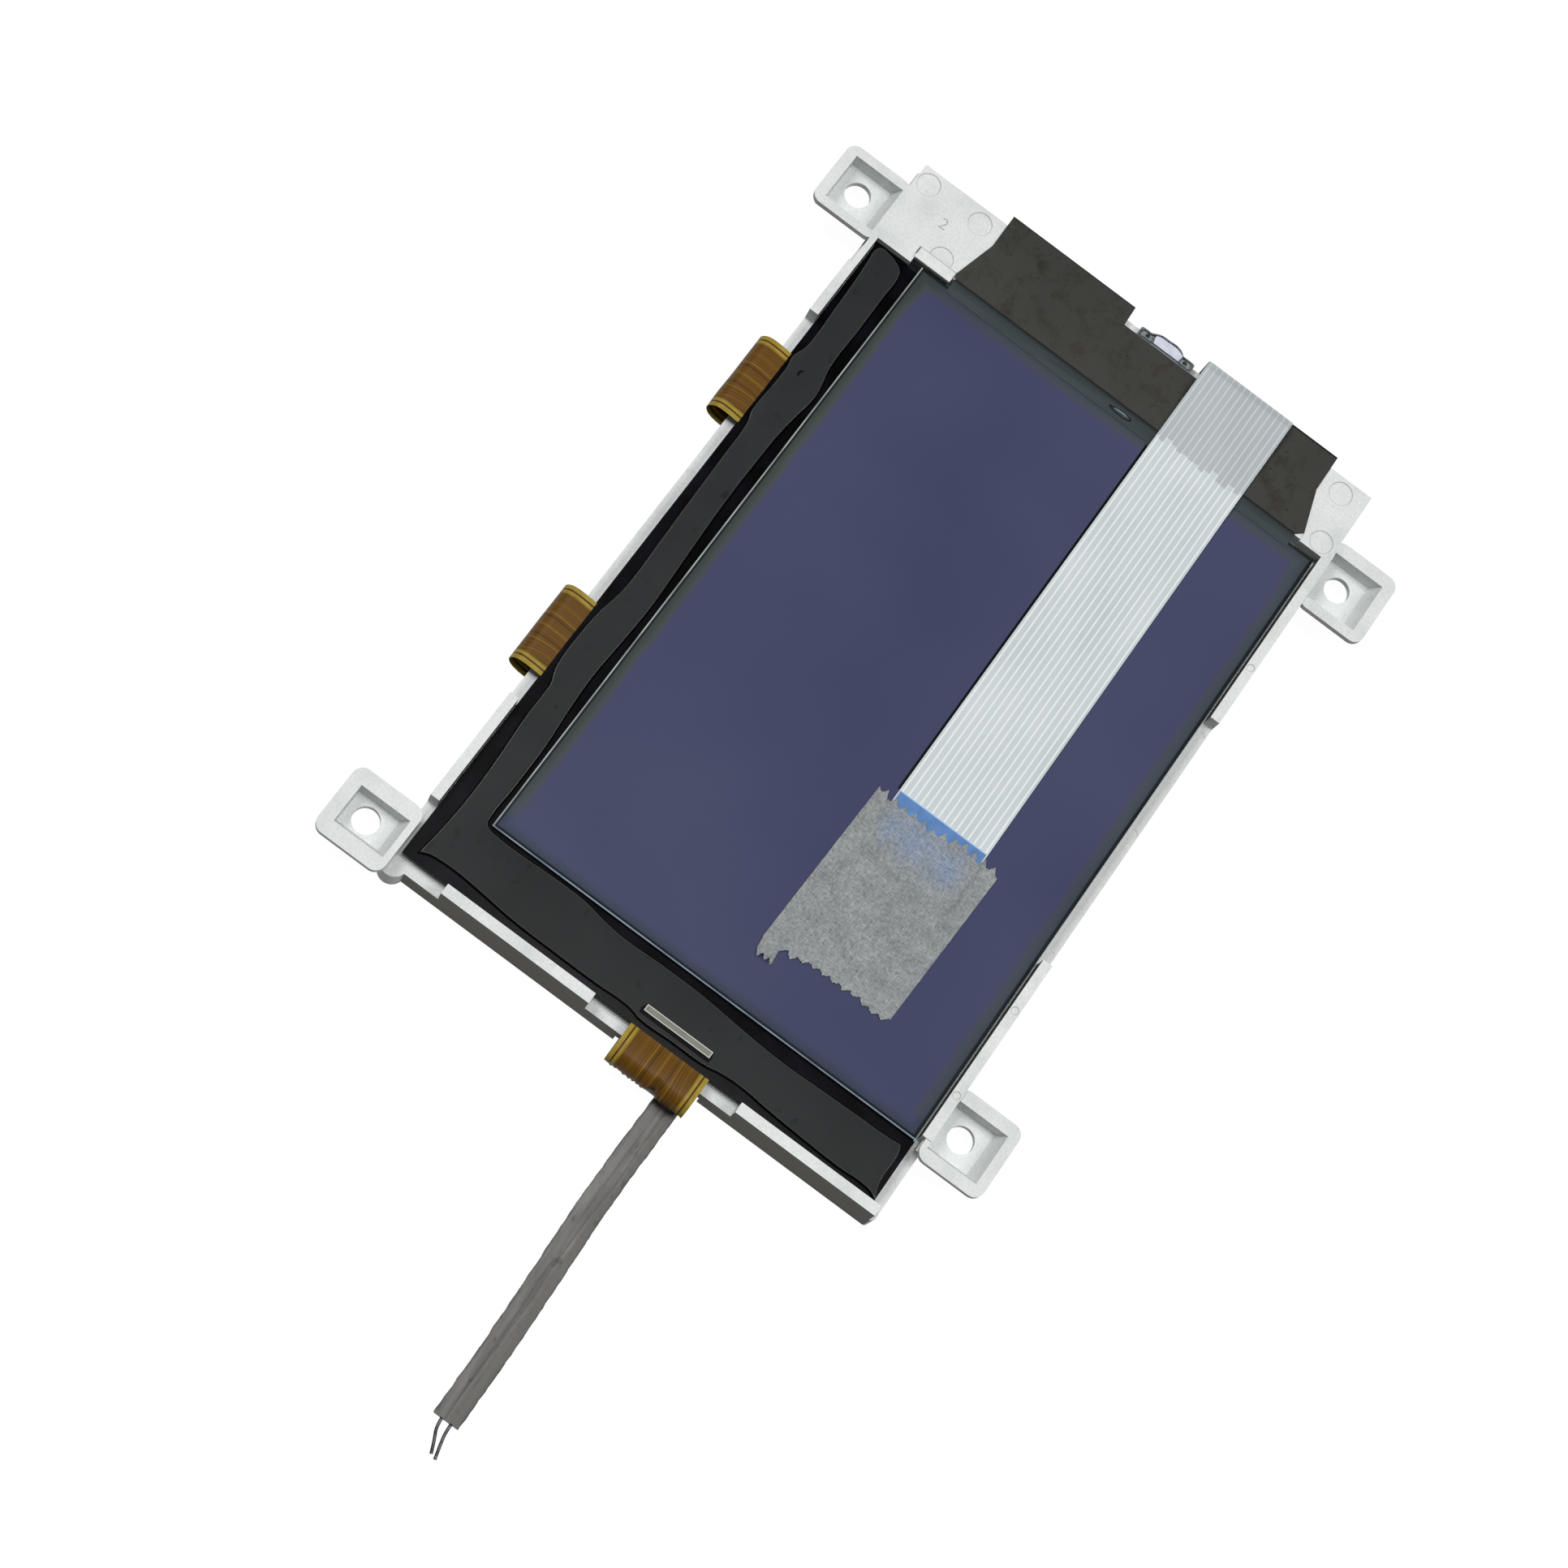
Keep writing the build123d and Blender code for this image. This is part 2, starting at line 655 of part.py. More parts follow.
with BuildPart() as lead_wires:
    for start, end in zip(wire_starts, wire_ends):
        with BuildLine(level(0)) as wire_course:
            FilletPolyline(
                (start[0], start[1], wire_heights[0]),
                (start[0] - wire_straight, start[1], wire_heights[0]),
                (end[0], end[1], wire_heights[1]),
                radius=wire_bend_radius,
            )
        with BuildSketch(Plane(origin=wire_course.line @ 0, z_dir=wire_course.line % 0)):
            Circle(wire_radius)
        sweep(path=wire_course.line)

sleeve_length = sleeve_course.wire().length
print("sleeve radii", [round(radius, 1) for radius in sleeve_radii])
print("sleeve length", round(sleeve_length, 2))
print("sleeve section by length", round(sleeve_section.sketch.area * sleeve_length, 2))
print("sleeve volume", round(lead_sleeve.part.volume, 2))

pieces = {
    "frame": frame,
    "rear_glass": rear_glass,
    "front_glass": front_glass,
    "front_polarizer": front_polarizer,
    "rear_polarizer": rear_polarizer,
    "glass_cushion": glass_cushion,
    "ledge_sealant": ledge_sealant,
    "driver_bar": driver_bar,
    "driver_tape_upper": driver_tape_upper,
    "driver_tape_lower": driver_tape_lower,
    "driver_tape_end": driver_tape_end,
    "driver_chip_upper": driver_chip_upper,
    "driver_chip_lower": driver_chip_lower,
    "driver_chip_end": driver_chip_end,
    "rear_board": rear_board,
    "reflector_sheet": reflector_sheet,
    "light_guide": light_guide,
    "diffuser_sheet": diffuser_sheet,
    "lamp_bar": lamp_bar,
    "board_screws": board_screws,
    "black_sheet": black_sheet,
    "flat_cable": flat_cable,
    "cable_stiffener": cable_stiffener,
    "masking_tape": masking_tape,
    "lamp_holder": lamp_holder,
    "lamp_block": lamp_block,
    "controller_chip": controller_chip,
    "memory_chip": memory_chip,
    "bias_amplifier": bias_amplifier,
    "chip_capacitors": chip_capacitors,
    "storage_capacitors": storage_capacitors,
    "contrast_trimmer": contrast_trimmer,
    "cable_connector": cable_connector,
    "lead_terminal": lead_terminal,
    "lead_sleeve": lead_sleeve,
    "lead_wires": lead_wires,
}

for name, piece in pieces.items():
    piece.part.label = name
    export_step(piece.part, "parts/" + name + ".step")
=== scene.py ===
import math

import bpy
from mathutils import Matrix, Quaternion, Vector, noise


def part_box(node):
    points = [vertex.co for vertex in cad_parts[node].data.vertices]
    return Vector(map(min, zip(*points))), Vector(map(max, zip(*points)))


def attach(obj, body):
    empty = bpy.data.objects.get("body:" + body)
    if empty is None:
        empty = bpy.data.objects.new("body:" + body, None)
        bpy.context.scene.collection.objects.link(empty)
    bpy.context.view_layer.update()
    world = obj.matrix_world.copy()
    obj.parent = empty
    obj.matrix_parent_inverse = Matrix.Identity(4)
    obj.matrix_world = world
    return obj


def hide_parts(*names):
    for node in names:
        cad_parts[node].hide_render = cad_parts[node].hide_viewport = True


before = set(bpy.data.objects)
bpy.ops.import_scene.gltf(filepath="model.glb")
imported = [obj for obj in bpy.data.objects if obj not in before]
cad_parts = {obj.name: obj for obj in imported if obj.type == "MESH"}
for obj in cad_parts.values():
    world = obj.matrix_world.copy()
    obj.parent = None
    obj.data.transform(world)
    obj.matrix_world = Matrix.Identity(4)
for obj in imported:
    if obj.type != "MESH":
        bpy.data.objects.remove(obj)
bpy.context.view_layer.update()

MM = 0.001

# Places are given in millimetres from the middle of the front glass, as on the part itself.
glass_low, glass_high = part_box("front_glass")
CENTRE_X = (glass_low[0] + glass_high[0]) / 2
CENTRE_Y = (glass_low[1] + glass_high[1]) / 2
GLASS_HALF_X = (glass_high[0] - glass_low[0]) / 2 / MM
GLASS_HALF_Y = (glass_high[1] - glass_low[1]) / 2 / MM


def at(x, y, z):
    return Vector((CENTRE_X + x * MM, CENTRE_Y + y * MM, z * MM))


def colour(code):
    """A colour written as an sRGB hex code, turned to the linear values that shaders take."""
    parts = [int(code[i:i + 2], 16) / 255 for i in (1, 3, 5)]
    return [p / 12.92 if p <= 0.04045 else ((p + 0.055) / 1.055) ** 2.4 for p in parts] + [1.0]


# Camera, as the photograph was taken: about 0.6 m away, from beyond the lead end.
CAMERA_PLACE = (-221.52, 17.55, 551.95)
CAMERA_AIM = (-25.14, 8.49, 0.0)
CAMERA_ROLL = math.radians(39.203)
LENS = 80.12
SENSOR = 36.0


def place_camera():
    data = bpy.data.cameras.new("camera")
    data.lens = LENS
    data.sensor_width = SENSOR
    data.clip_start = 0.01
    made = bpy.data.objects.new("camera", data)
    bpy.context.scene.collection.objects.link(made)
    place, aim = at(*CAMERA_PLACE), at(*CAMERA_AIM)
    turn = (aim - place).to_track_quat("-Z", "Y") @ Quaternion((0, 0, 1), CAMERA_ROLL)
    made.location = place
    made.rotation_mode = "QUATERNION"
    made.rotation_quaternion = turn
    bpy.context.scene.camera = made


def add(tree, kind, sockets=None, **settings):
    """Adds a node with its settings; each socket takes a value or another node's output."""
    made = tree.nodes.new(kind)
    for name, value in settings.items():
        setattr(made, name, value)
    for name, value in (sockets or {}).items():
        socket = made.inputs[name] if isinstance(name, int) else next(
            s for s in made.inputs if s.name == name and s.enabled
        )
        if isinstance(value, bpy.types.Node):
            value = next(s for s in value.outputs if s.enabled)
        if isinstance(value, bpy.types.NodeSocket):
            tree.links.new(value, socket)
        else:
            socket.default_value = value
    return made


def surface(name, **sockets):
    """A new material with one Principled shader; returns the material, its tree and the shader."""
    made = bpy.data.materials.new(name)
    made.use_nodes = True
    tree = made.node_tree
    tree.nodes.clear()
    shader = add(tree, "ShaderNodeBsdfPrincipled")
    add(tree, "ShaderNodeOutputMaterial", {"Surface": shader})
    for socket, value in sockets.items():
        shader.inputs[socket.replace("_", " ")].default_value = value
    return made, tree, shader


def on_part(tree, stretch=(1, 1, 1)):
    """Places in millimetres from the middle of the front glass, stretched along each axis."""
    place = add(tree, "ShaderNodeTexCoord").outputs["Object"]
    return add(tree, "ShaderNodeMapping", {
        "Vector": place, "Scale": [share / MM for share in stretch],
        "Location": (-CENTRE_X / MM * stretch[0], -CENTRE_Y / MM * stretch[1], 0),
    })


def along_strip(tree, length_mm, width_mm):
    """Places on a strip's own map in millimetres, along it and across it."""
    place = add(tree, "ShaderNodeTexCoord").outputs["UV"]
    return add(tree, "ShaderNodeMapping", {"Vector": place, "Scale": (length_mm, width_mm, 1)})


def grain(tree, size_mm, detail=3.0, rough=0.5, stretch=(1, 1, 1), source=None):
    """Noise whose features are about size_mm across."""
    return add(tree, "ShaderNodeTexNoise", {
        "Vector": source or on_part(tree, stretch), "Scale": 1 / size_mm,
        "Detail": detail, "Roughness": rough,
    })


def split(tree, source):
    """The X, Y and Z of a place, a direction or a colour."""
    return add(tree, "ShaderNodeSeparateXYZ", {"Vector": source}).outputs


def ramp(tree, value, stops):
    """Colours at positions along a value from 0 to 1."""
    made = add(tree, "ShaderNodeValToRGB", {"Fac": value})
    points = made.color_ramp.elements
    while len(points) < len(stops):
        points.new(0.5)
    for point, (position, code) in zip(points, stops):
        point.position = position
        point.color = colour(code)
    return made


def clouded(tree, size_mm, dark, light, **settings):
    """Two tones that drift into each other in clouds about size_mm across."""
    return ramp(tree, grain(tree, size_mm, **settings), [(0.3, dark), (0.7, light)])


def mixed(tree, share, first, second, blend="MIX"):
    """One colour laid over another by a share."""
    return add(tree, "ShaderNodeMix", {"Factor": share, "A": first, "B": second},
               data_type="RGBA", blend_type=blend)


def maths(tree, operation, first, second=0.0, clamp=False):
    return add(tree, "ShaderNodeMath", {0: first, 1: second}, operation=operation, use_clamp=clamp)


def remap(tree, value, from_low, from_high, to_low=0.0, to_high=1.0):
    return add(tree, "ShaderNodeMapRange", {
        "Value": value, "From Min": from_low, "From Max": from_high,
        "To Min": to_low, "To Max": to_high,
    })


def apart(tree, value, middle):
    """How far a value lies from a middle, to either side."""
    return maths(tree, "ABSOLUTE", maths(tree, "SUBTRACT", value, middle))


def both(tree, first, second):
    """The product of two shares: full only where both are."""
    return maths(tree, "MULTIPLY", first, second, clamp=True)


def between(tree, value, low, high, soft):
    """1 between low and high, falling to 0 over a soft edge on each side."""
    return both(tree, remap(tree, value, low - soft, low), remap(tree, value, high + soft, high))


def relief(tree, shader, height, depth_mm, strength=1.0):
    """Bumps of the given depth on the shader's surface."""
    bump = add(tree, "ShaderNodeBump", {
        "Height": height, "Distance": depth_mm * MM, "Strength": strength,
    })
    tree.links.new(bump.outputs["Normal"], shader.inputs["Normal"])


def paint(tree, shader, source, socket="Base Color"):
    out = next(s for s in source.outputs if s.enabled)
    tree.links.new(out, shader.inputs[socket])


# Centres and radii of the round ejector pin marks in the plate and the high rail.
PIN_MARKS = (
    (77.0, 50.5, 2.2), (76.9, 39.2, 2.2), (66.9, 40.9, 2.2), (77.0, -39.8, 2.2), (67.0, -41.8, 2.2),
    (39.4, -44.12, 0.7), (-36.1, -44.12, 0.7), (-53.8, -44.12, 0.7),
)
# Where the lead end wall stands, how far it runs, and the inner faces of the two long walls.
LEAD_WALL = (-78.4, -78.18)
LEAD_WALL_RUN = (-46.0, 52.8)
LONG_WALLS = ((51.74, 51.83), (-43.24, -43.15))
# The largest share of a darker tone over the plastic's own colour.
DARKEST = 0.85


def moulded_abs():
    # Pale grey ABS from a spark-eroded mould: a dull sheen broken by a fine sandy grain, with
    # handling marks that show as faint darker clouds and thin grey lines round the pin marks. A dark
    # line low on the inside of the long walls is painted shade. The outside of the lead end wall is
    # painted dark and dull as painted shade: it is no finish of the plastic, and it looks too dark
    # from other sides.
    made, tree, shader = surface("moulded_abs", IOR=1.5)
    sand = grain(tree, 0.45, detail=3.0)
    tint = ramp(tree, grain(tree, 7.0, detail=6.0), [
        (0.3, "#CDD1D0"), (0.5, "#D8DBDA"), (0.7, "#DEE1E0"),
    ])
    speck = ramp(tree, sand, [(0.32, "#F2F3F3"), (0.6, "#FFFFFF")])
    marks = ramp(tree, grain(tree, 2.2, detail=8.0, rough=0.7), [(0.30, "#C6C9C8"), (0.40, "#FFFFFF")])
    tone = mixed(tree, 1.0, tint, speck, "MULTIPLY")
    tone = mixed(tree, 0.3, tone, mixed(tree, 1.0, tone, marks, "MULTIPLY"))
    place = split(tree, on_part(tree))
    rings = 0.0
    for x, y, radius in PIN_MARKS:
        away = add(tree, "ShaderNodeVectorMath", {0: on_part(tree, (1, 1, 0)), 1: (x, y, 0)},
                   operation="DISTANCE")
        rings = maths(tree, "MAXIMUM", rings, between(tree, away, radius - 0.04, radius, 0.1))
    rings = both(tree, rings, remap(tree, place["Z"], 8.6, 8.8, 0.0, 0.45))
    tone = mixed(tree, rings, tone, colour("#7E827F"))
    facing = split(tree, add(tree, "ShaderNodeNewGeometry").outputs["True Normal"])
    # painted shade on the outside of the lead end wall
    shaded = both(tree, between(tree, place["X"], *LEAD_WALL, 0.06),
                  between(tree, place["Y"], *LEAD_WALL_RUN, 0.3))
    shaded = both(tree, shaded, remap(tree, facing["X"], -0.7, -0.9, 0.0, DARKEST))
    tone = mixed(tree, shaded, tone, colour("#716C61"))
    # painted shade: a dark line low on the inside of both long walls
    gap_shade = maths(tree, "MAXIMUM", *(
        between(tree, place["Y"], *wall, 0.05) for wall in LONG_WALLS))
    long_wall = remap(tree, maths(tree, "ABSOLUTE", facing["Y"]), 0.7, 0.9, 0.0, DARKEST)
    gap_shade = both(tree, gap_shade, both(tree, long_wall, remap(tree, place["Z"], 5.44, 5.5)))
    tone = mixed(tree, gap_shade, tone, colour("#2C2D29"))
    paint(tree, shader, tone)
    # the painted shade is also made duller
    dull = maths(tree, "MAXIMUM", shaded, gap_shade)
    paint(tree, shader, remap(tree, dull, 0.0, DARKEST, 0.5, 0.74), "Roughness")
    relief(tree, shader, sand, 0.012, 0.2)
    return made


def moulded_tab():
    # The frame's ABS on the tab that holds the glass: pale on top, darker low down as painted shade.
    made, tree, shader = surface("moulded_tab", Roughness=0.5, IOR=1.5)
    height = split(tree, on_part(tree))["Z"]
    body = clouded(tree, 0.9, "#D3D6D5", "#E0E2E1", detail=4.0)
    # painted shade low on the tab, and on the dark ring round its base
    foot_shade = both(tree, remap(tree, height, 9.36, 9.14), 0.9)
    paint(tree, shader, mixed(tree, foot_shade, body, colour("#5B5B57")))
    relief(tree, shader, grain(tree, 0.45), 0.04, 0.4)
    return made


def moulded_number():
    # The same ABS where the mould was engraved by hand: painted a little greyer all over, as shade for its
    # raised edge.
    made, tree, shader = surface("moulded_number", Roughness=0.5, IOR=1.5)
    paint(tree, shader, clouded(tree, 0.3, "#989C9B", "#B9BDBC"))
    relief(tree, shader, grain(tree, 0.4), 0.03, 0.5)
    return made


def plain(name, code, rough, grain_mm=0.6, depth_mm=0.02, vary=0.12, **sockets):
    """A moulded or printed finish with a little unevenness in colour and surface."""
    made, tree, shader = surface(name, Roughness=rough, **sockets)
    shade = remap(tree, grain(tree, 5.0, detail=4.0), 0.3, 0.7, 1 - vary, 1.0)
    paint(tree, shader, mixed(tree, 1.0, colour(code), shade, "MULTIPLY"))
    relief(tree, shader, grain(tree, grain_mm), depth_mm, 0.6)
    return made


def soda_lime_glass():
    # Display glass, cut and ground: dark green-grey through its edge, with a pale ground line
    # that shows round the polarizer on the ledge sides.
    made, tree, shader = surface("soda_lime_glass", Roughness=0.12, IOR=1.52)
    place = split(tree, on_part(tree))
    on_face = remap(tree, place["Z"], 8.1, 8.19)
    lead_line = remap(tree, place["X"], -GLASS_HALF_X + 0.3, -GLASS_HALF_X + 0.22)
    tape_line = remap(tree, place["Y"], GLASS_HALF_Y - 0.3, GLASS_HALF_Y - 0.22)
    line = both(tree, on_face, maths(tree, "MAXIMUM", lead_line, tape_line))
    uneven = remap(tree, grain(tree, 5.0, detail=5.0), 0.35, 0.6, 0.55, 1.0)
    dark = clouded(tree, 6.0, "#12181A", "#20292C")
    ground = mixed(tree, tape_line, colour("#8492A2"), colour("#A3ABA6"))
    paint(tree, shader, mixed(tree, both(tree, line, uneven), dark, ground))
    relief(tree, shader, grain(tree, 1.2), 0.01, 0.4)
    return made


def polarizer_film():
    # Acetate polarizer over the unlit screen: deep blue-violet in the drive area, with a
    # soft-edged grey border 2 mm wide where the cell has no electrodes, greener on the tape side
    # and bluer at the lead end, and a dark line of painted shadow along the flat cable's edge.
    made, tree, shader = surface("polarizer_film", Roughness=0.3, IOR=1.45, Specular_IOR_Level=0.15)
    place = split(tree, on_part(tree))
    from_end = maths(tree, "SUBTRACT", GLASS_HALF_X, maths(tree, "ABSOLUTE", place["X"]))
    from_side = maths(tree, "SUBTRACT", GLASS_HALF_Y, maths(tree, "ABSOLUTE", place["Y"]))
    wander = remap(tree, grain(tree, 9.0, detail=5.0), 0.3, 0.7, -0.2, 0.2)
    wider = remap(tree, place["X"], 55.0, 60.0, 0.0, 0.6)
    inwards = maths(tree, "ADD", maths(tree, "MINIMUM", from_end, from_side), wander)
    share = remap(tree, maths(tree, "SUBTRACT", inwards, wider), 0.0, 4.0)
    cool = ramp(tree, share, [
        (0.0, "#3A4146"), (0.28, "#404850"), (0.5, "#444B53"), (0.66, "#45485D"), (0.78, "#434763"),
    ])
    green = ramp(tree, share, [
        (0.0, "#3A403E"), (0.28, "#3C4341"), (0.5, "#454C4A"), (0.62, "#46495A"), (0.7, "#434763"),
    ])
    blue = ramp(tree, share, [(0.0, "#363F4A"), (0.28, "#374153"), (0.5, "#40465D"), (0.68, "#434763")])
    tape_side = both(tree, remap(tree, place["Y"], 36.0, 39.0),
                     remap(tree, place["X"], -60.0, -46.0))
    lead_end = remap(tree, place["X"], -59.6, -60.6)
    tint = mixed(tree, lead_end, mixed(tree, tape_side, cool, green), blue)
    drift = ramp(tree, grain(tree, 45.0, detail=2.0), [(0.35, "#ECECF4"), (0.65, "#FFFFFF")])
    tint = mixed(tree, 1.0, tint, drift, "MULTIPLY")
    rim = remap(tree, maths(tree, "MINIMUM", from_end, from_side), 0.72, 0.62, 0.0, 0.7)
    # painted shadow of the flat cable along its edge
    beside = both(tree, between(tree, place["Y"], -7.5, -7.02, 0.06),
                  between(tree, place["X"], -16.5, 62.0, 0.3))
    rim = maths(tree, "MAXIMUM", rim, beside)
    paint(tree, shader, mixed(tree, rim, tint, colour("#0B0D10")))
    relief(tree, shader, grain(tree, 3.0), 0.004, 0.3)
    return made


def silicone_resin():
    # Black potting resin that skinned over flat: a dull charcoal top, a fine pale line at its rim
    # that is a painted highlight, and wet black shoulders below it.
    made, tree, shader = surface("silicone_resin", IOR=1.45, Specular_IOR_Level=0.15)
    height = split(tree, on_part(tree))["Z"]
    top = clouded(tree, 14.0, "#242526", "#2A2B2C", detail=6.0)
    stain = ramp(tree, grain(tree, 3.0, detail=6.0), [(0.26, "#BDBDBD"), (0.36, "#FFFFFF")])
    top = mixed(tree, 1.0, top, stain, "MULTIPLY")
    # painted highlight: a pale line on the shoulder just under the flat top
    line = between(tree, height, 7.955, 7.978, 0.012)
    flat = remap(tree, height, 7.978, 7.99)
    body = mixed(tree, flat, colour("#030304"), top)
    paint(tree, shader, mixed(tree, line, body, colour("#4B4C4B")))
    paint(tree, shader, remap(tree, flat, 0.0, 1.0, 0.16, 0.55), "Roughness")
    relief(tree, shader, grain(tree, 2.5), 0.006, 0.3)
    return made


def resin_shadow():
    # Resin that ran thin beside the flat top, smooth and quite black, with a faint violet cast
    # where it is thinnest; the same black is laid as painted shadow round the glass bar.
    made, tree, shader = surface("resin_shadow", Roughness=0.3, IOR=1.45, Specular_IOR_Level=0.08)
    paint(tree, shader, ramp(tree, grain(tree, 6.0, detail=4.0), [(0.4, "#030304"), (0.7, "#0F0D15")]))
    relief(tree, shader, grain(tree, 3.0), 0.004, 0.3)
    return made


# The glass bar's middle and half its size, in x and then in y.
BAR_MIDDLE = (-72.7, -1.35)
BAR_HALF = (0.6, 6.55)


def coated_glass_bar():
    # A thin glass bar sealed into the resin: olive grey body, pale ground arrises all round.
    made, tree, shader = surface("coated_glass_bar", Roughness=0.3, IOR=1.5)
    place = split(tree, on_part(tree))
    inside = [maths(tree, "SUBTRACT", half, apart(tree, place[axis], middle))
              for axis, middle, half in zip("XY", BAR_MIDDLE, BAR_HALF)]
    rim = remap(tree, maths(tree, "MINIMUM", *inside), 0.17, 0.1)
    body = clouded(tree, 2.5, "#65675C", "#75776B", detail=5.0)
    paint(tree, shader, mixed(tree, rim, body, colour("#C6C7BE")))
    relief(tree, shader, grain(tree, 0.5), 0.01, 0.4)
    return made


# The size of the map on each driver tape, along its loop and across it.
TAPE_MAP = (30.0, 16.2)


def polyimide_tape():
    # Amber polyimide over copper: brown where the tracks run close, gold along the bare edges.
    made, tree, shader = surface("polyimide_tape", Roughness=0.45, IOR=1.6, Specular_IOR_Level=0.12)
    strip = along_strip(tree, *TAPE_MAP)
    place = split(tree, strip)
    along, across = place["X"], place["Y"]
    fan = both(tree, remap(tree, across, 6.0, 0.5), remap(tree, along, 5.0, 13.0))
    track = maths(tree, "ADD", across, maths(tree, "MULTIPLY", fan, 1.3))
    sway = remap(tree, grain(tree, 9.0, source=strip), 0.3, 0.7, -0.1, 0.1)
    track = maths(tree, "ADD", track, sway)
    packed = add(tree, "ShaderNodeCombineXYZ", {"X": track, "Y": 0.0, "Z": 0.0})
    group = grain(tree, 0.9, detail=3.0, source=packed)
    base = ramp(tree, group, [
        (0.32, "#432907"), (0.42, "#5E3F0D"), (0.56, "#694810"), (0.68, "#86661C"),
    ])
    fine = maths(tree, "PINGPONG", track, 0.26)
    lines = remap(tree, fine, 0.04, 0.12, 0.72, 1.0)
    base = mixed(tree, 1.0, base, lines, "MULTIPLY")
    from_edge = maths(tree, "MINIMUM", across, maths(tree, "SUBTRACT", TAPE_MAP[1], across))
    bare = remap(tree, from_edge, 1.9, 1.5)
    gold = clouded(tree, 4.0, "#8C7524", "#A08E38", source=strip)
    base = mixed(tree, bare, base, gold)
    outline = between(tree, from_edge, 0.85, 1.05, 0.12)
    paint(tree, shader, mixed(tree, outline, base, colour("#4B2A0C")))
    relief(tree, shader, fine, 0.02, 0.5)
    return made


def black_polyester():
    # Black polyester sheet, matt printed: thin brown-grey stains where glue shows through, and
    # black cut edges.
    made, tree, shader = surface("black_polyester", Roughness=0.6, IOR=1.5, Specular_IOR_Level=0.15)
    base = clouded(tree, 18.0, "#373734", "#3D3C39", detail=5.0)
    smudge = ramp(tree, grain(tree, 4.0, detail=8.0, rough=0.7), [
        (0.30, "#8E877C"), (0.42, "#DEDBD6"), (0.5, "#FFFFFF"),
    ])
    spots = ramp(tree, grain(tree, 1.1, detail=4.0), [(0.24, "#4A4640"), (0.33, "#FFFFFF")])
    tone = mixed(tree, 0.6, base, mixed(tree, 1.0, base, smudge, "MULTIPLY"))
    tone = mixed(tree, 0.5, tone, mixed(tree, 1.0, tone, spots, "MULTIPLY"))
    reach = split(tree, on_part(tree))["X"]
    cut = maths(tree, "MAXIMUM", remap(tree, reach, 65.42, 65.3), remap(tree, reach, 81.8, 81.92))
    paint(tree, shader, mixed(tree, both(tree, cut, 0.85), tone, colour("#0E0E0E")))
    relief(tree, shader, grain(tree, 1.4, detail=5.0), 0.02, 0.5)
    return made


# The air blister under the flap: its middle, and its reach, each in x and then in y.
BLISTER = (63.85, -0.2)
BLISTER_REACH = (0.4, 2.0)


def flap_film():
    # The sheet's thin lip over the screen edge: the same grey as the screen's own border, darker
    # towards the sheet, and one air blister with a rim of painted shade and a streak of painted highlight.
    made, tree, shader = surface("flap_film", Roughness=0.6, IOR=1.45, Specular_IOR_Level=0.05)
    streak = grain(tree, 3.0, detail=4.0, stretch=(2.5, 0.3, 1))
    tone = ramp(tree, streak, [(0.3, "#3A4244"), (0.7, "#41494C")])
    place = split(tree, on_part(tree))
    tone = mixed(tree, remap(tree, place["X"], 64.3, 65.0), tone, colour("#2A3032"))
    ripple = maths(tree, "MULTIPLY", grain(tree, 0.9, detail=4.0), 0.9)
    in_x, in_y = (
        maths(tree, "POWER", maths(tree, "MULTIPLY", apart(tree, place[axis], middle), share), 2.0)
        for axis, middle, share in zip("XY", BLISTER, (2.1, 0.42)))
    reach = maths(tree, "ADD", maths(tree, "ADD", in_x, in_y), ripple)
    # painted shade round the blister's rim
    edge = maths(tree, "MULTIPLY", between(tree, reach, 1.1, 1.35, 0.3), 0.8)
    tone = mixed(tree, edge, tone, colour("#121618"))
    # painted highlight along the blister
    shine = both(tree, remap(tree, reach, 1.0, 0.6), between(tree, place["X"], 63.95, 64.05, 0.14))
    paint(tree, shader, mixed(tree, shine, tone, colour("#7C898F")))
    relief(tree, shader, streak, 0.02, 0.4)
    return made


def flat_cable_film():
    # White polyester pressed over flat copper: pale grey strips with a bright line between them,
    # painted greyer as shade where the cable stands off the screen on its way to the fold, with a
    # painted shade line on the fold.
    made, tree, shader = surface("flat_cable_film", Roughness=0.36, IOR=1.5)
    across = split(tree, along_strip(tree, 1.0, 1.0))["Y"]
    strand = maths(tree, "MULTIPLY", maths(tree, "SUBTRACT", across, CABLE_EDGE),
                   CONDUCTORS / (1 - 2 * CABLE_EDGE))
    place = split(tree, on_part(tree))
    in_strand = maths(tree, "PINGPONG", strand, 0.5)
    line = remap(tree, in_strand, 0.17, 0.08)
    band = clouded(tree, 6.0, "#BAC3C5", "#C7CFD1", detail=4.0, stretch=(0.3, 1, 1))
    each = add(tree, "ShaderNodeTexWhiteNoise", {"W": maths(tree, "FLOOR", strand)}, noise_dimensions="1D")
    jag = remap(tree, each, 0.0, 1.0, -0.8, 0.8)
    edge = maths(tree, "ADD", place["X"], jag)
    # painted shade where the cable rises towards the fold
    raised = remap(tree, edge, 64.4, 64.6)
    faint = maths(tree, "MULTIPLY", line, remap(tree, raised, 0.0, 1.0, 0.85, 0.7))
    tone = mixed(tree, faint, band, colour("#E4E9E9"))
    grey = mixed(tree, 1.0, tone, colour("#E2E1E3"), "MULTIPLY")
    tone = mixed(tree, raised, tone, grey)
    # painted shade on the fold
    crease = both(tree, between(tree, place["X"], 80.5, 80.9, 0.3),
                  remap(tree, place["Z"], 8.0, 9.0))
    paint(tree, shader, mixed(tree, maths(tree, "MULTIPLY", crease, 0.35), tone, colour("#9BA0A1")))
    relief(tree, shader, grain(tree, 0.8, detail=4.0), 0.02, 0.3)
    return made


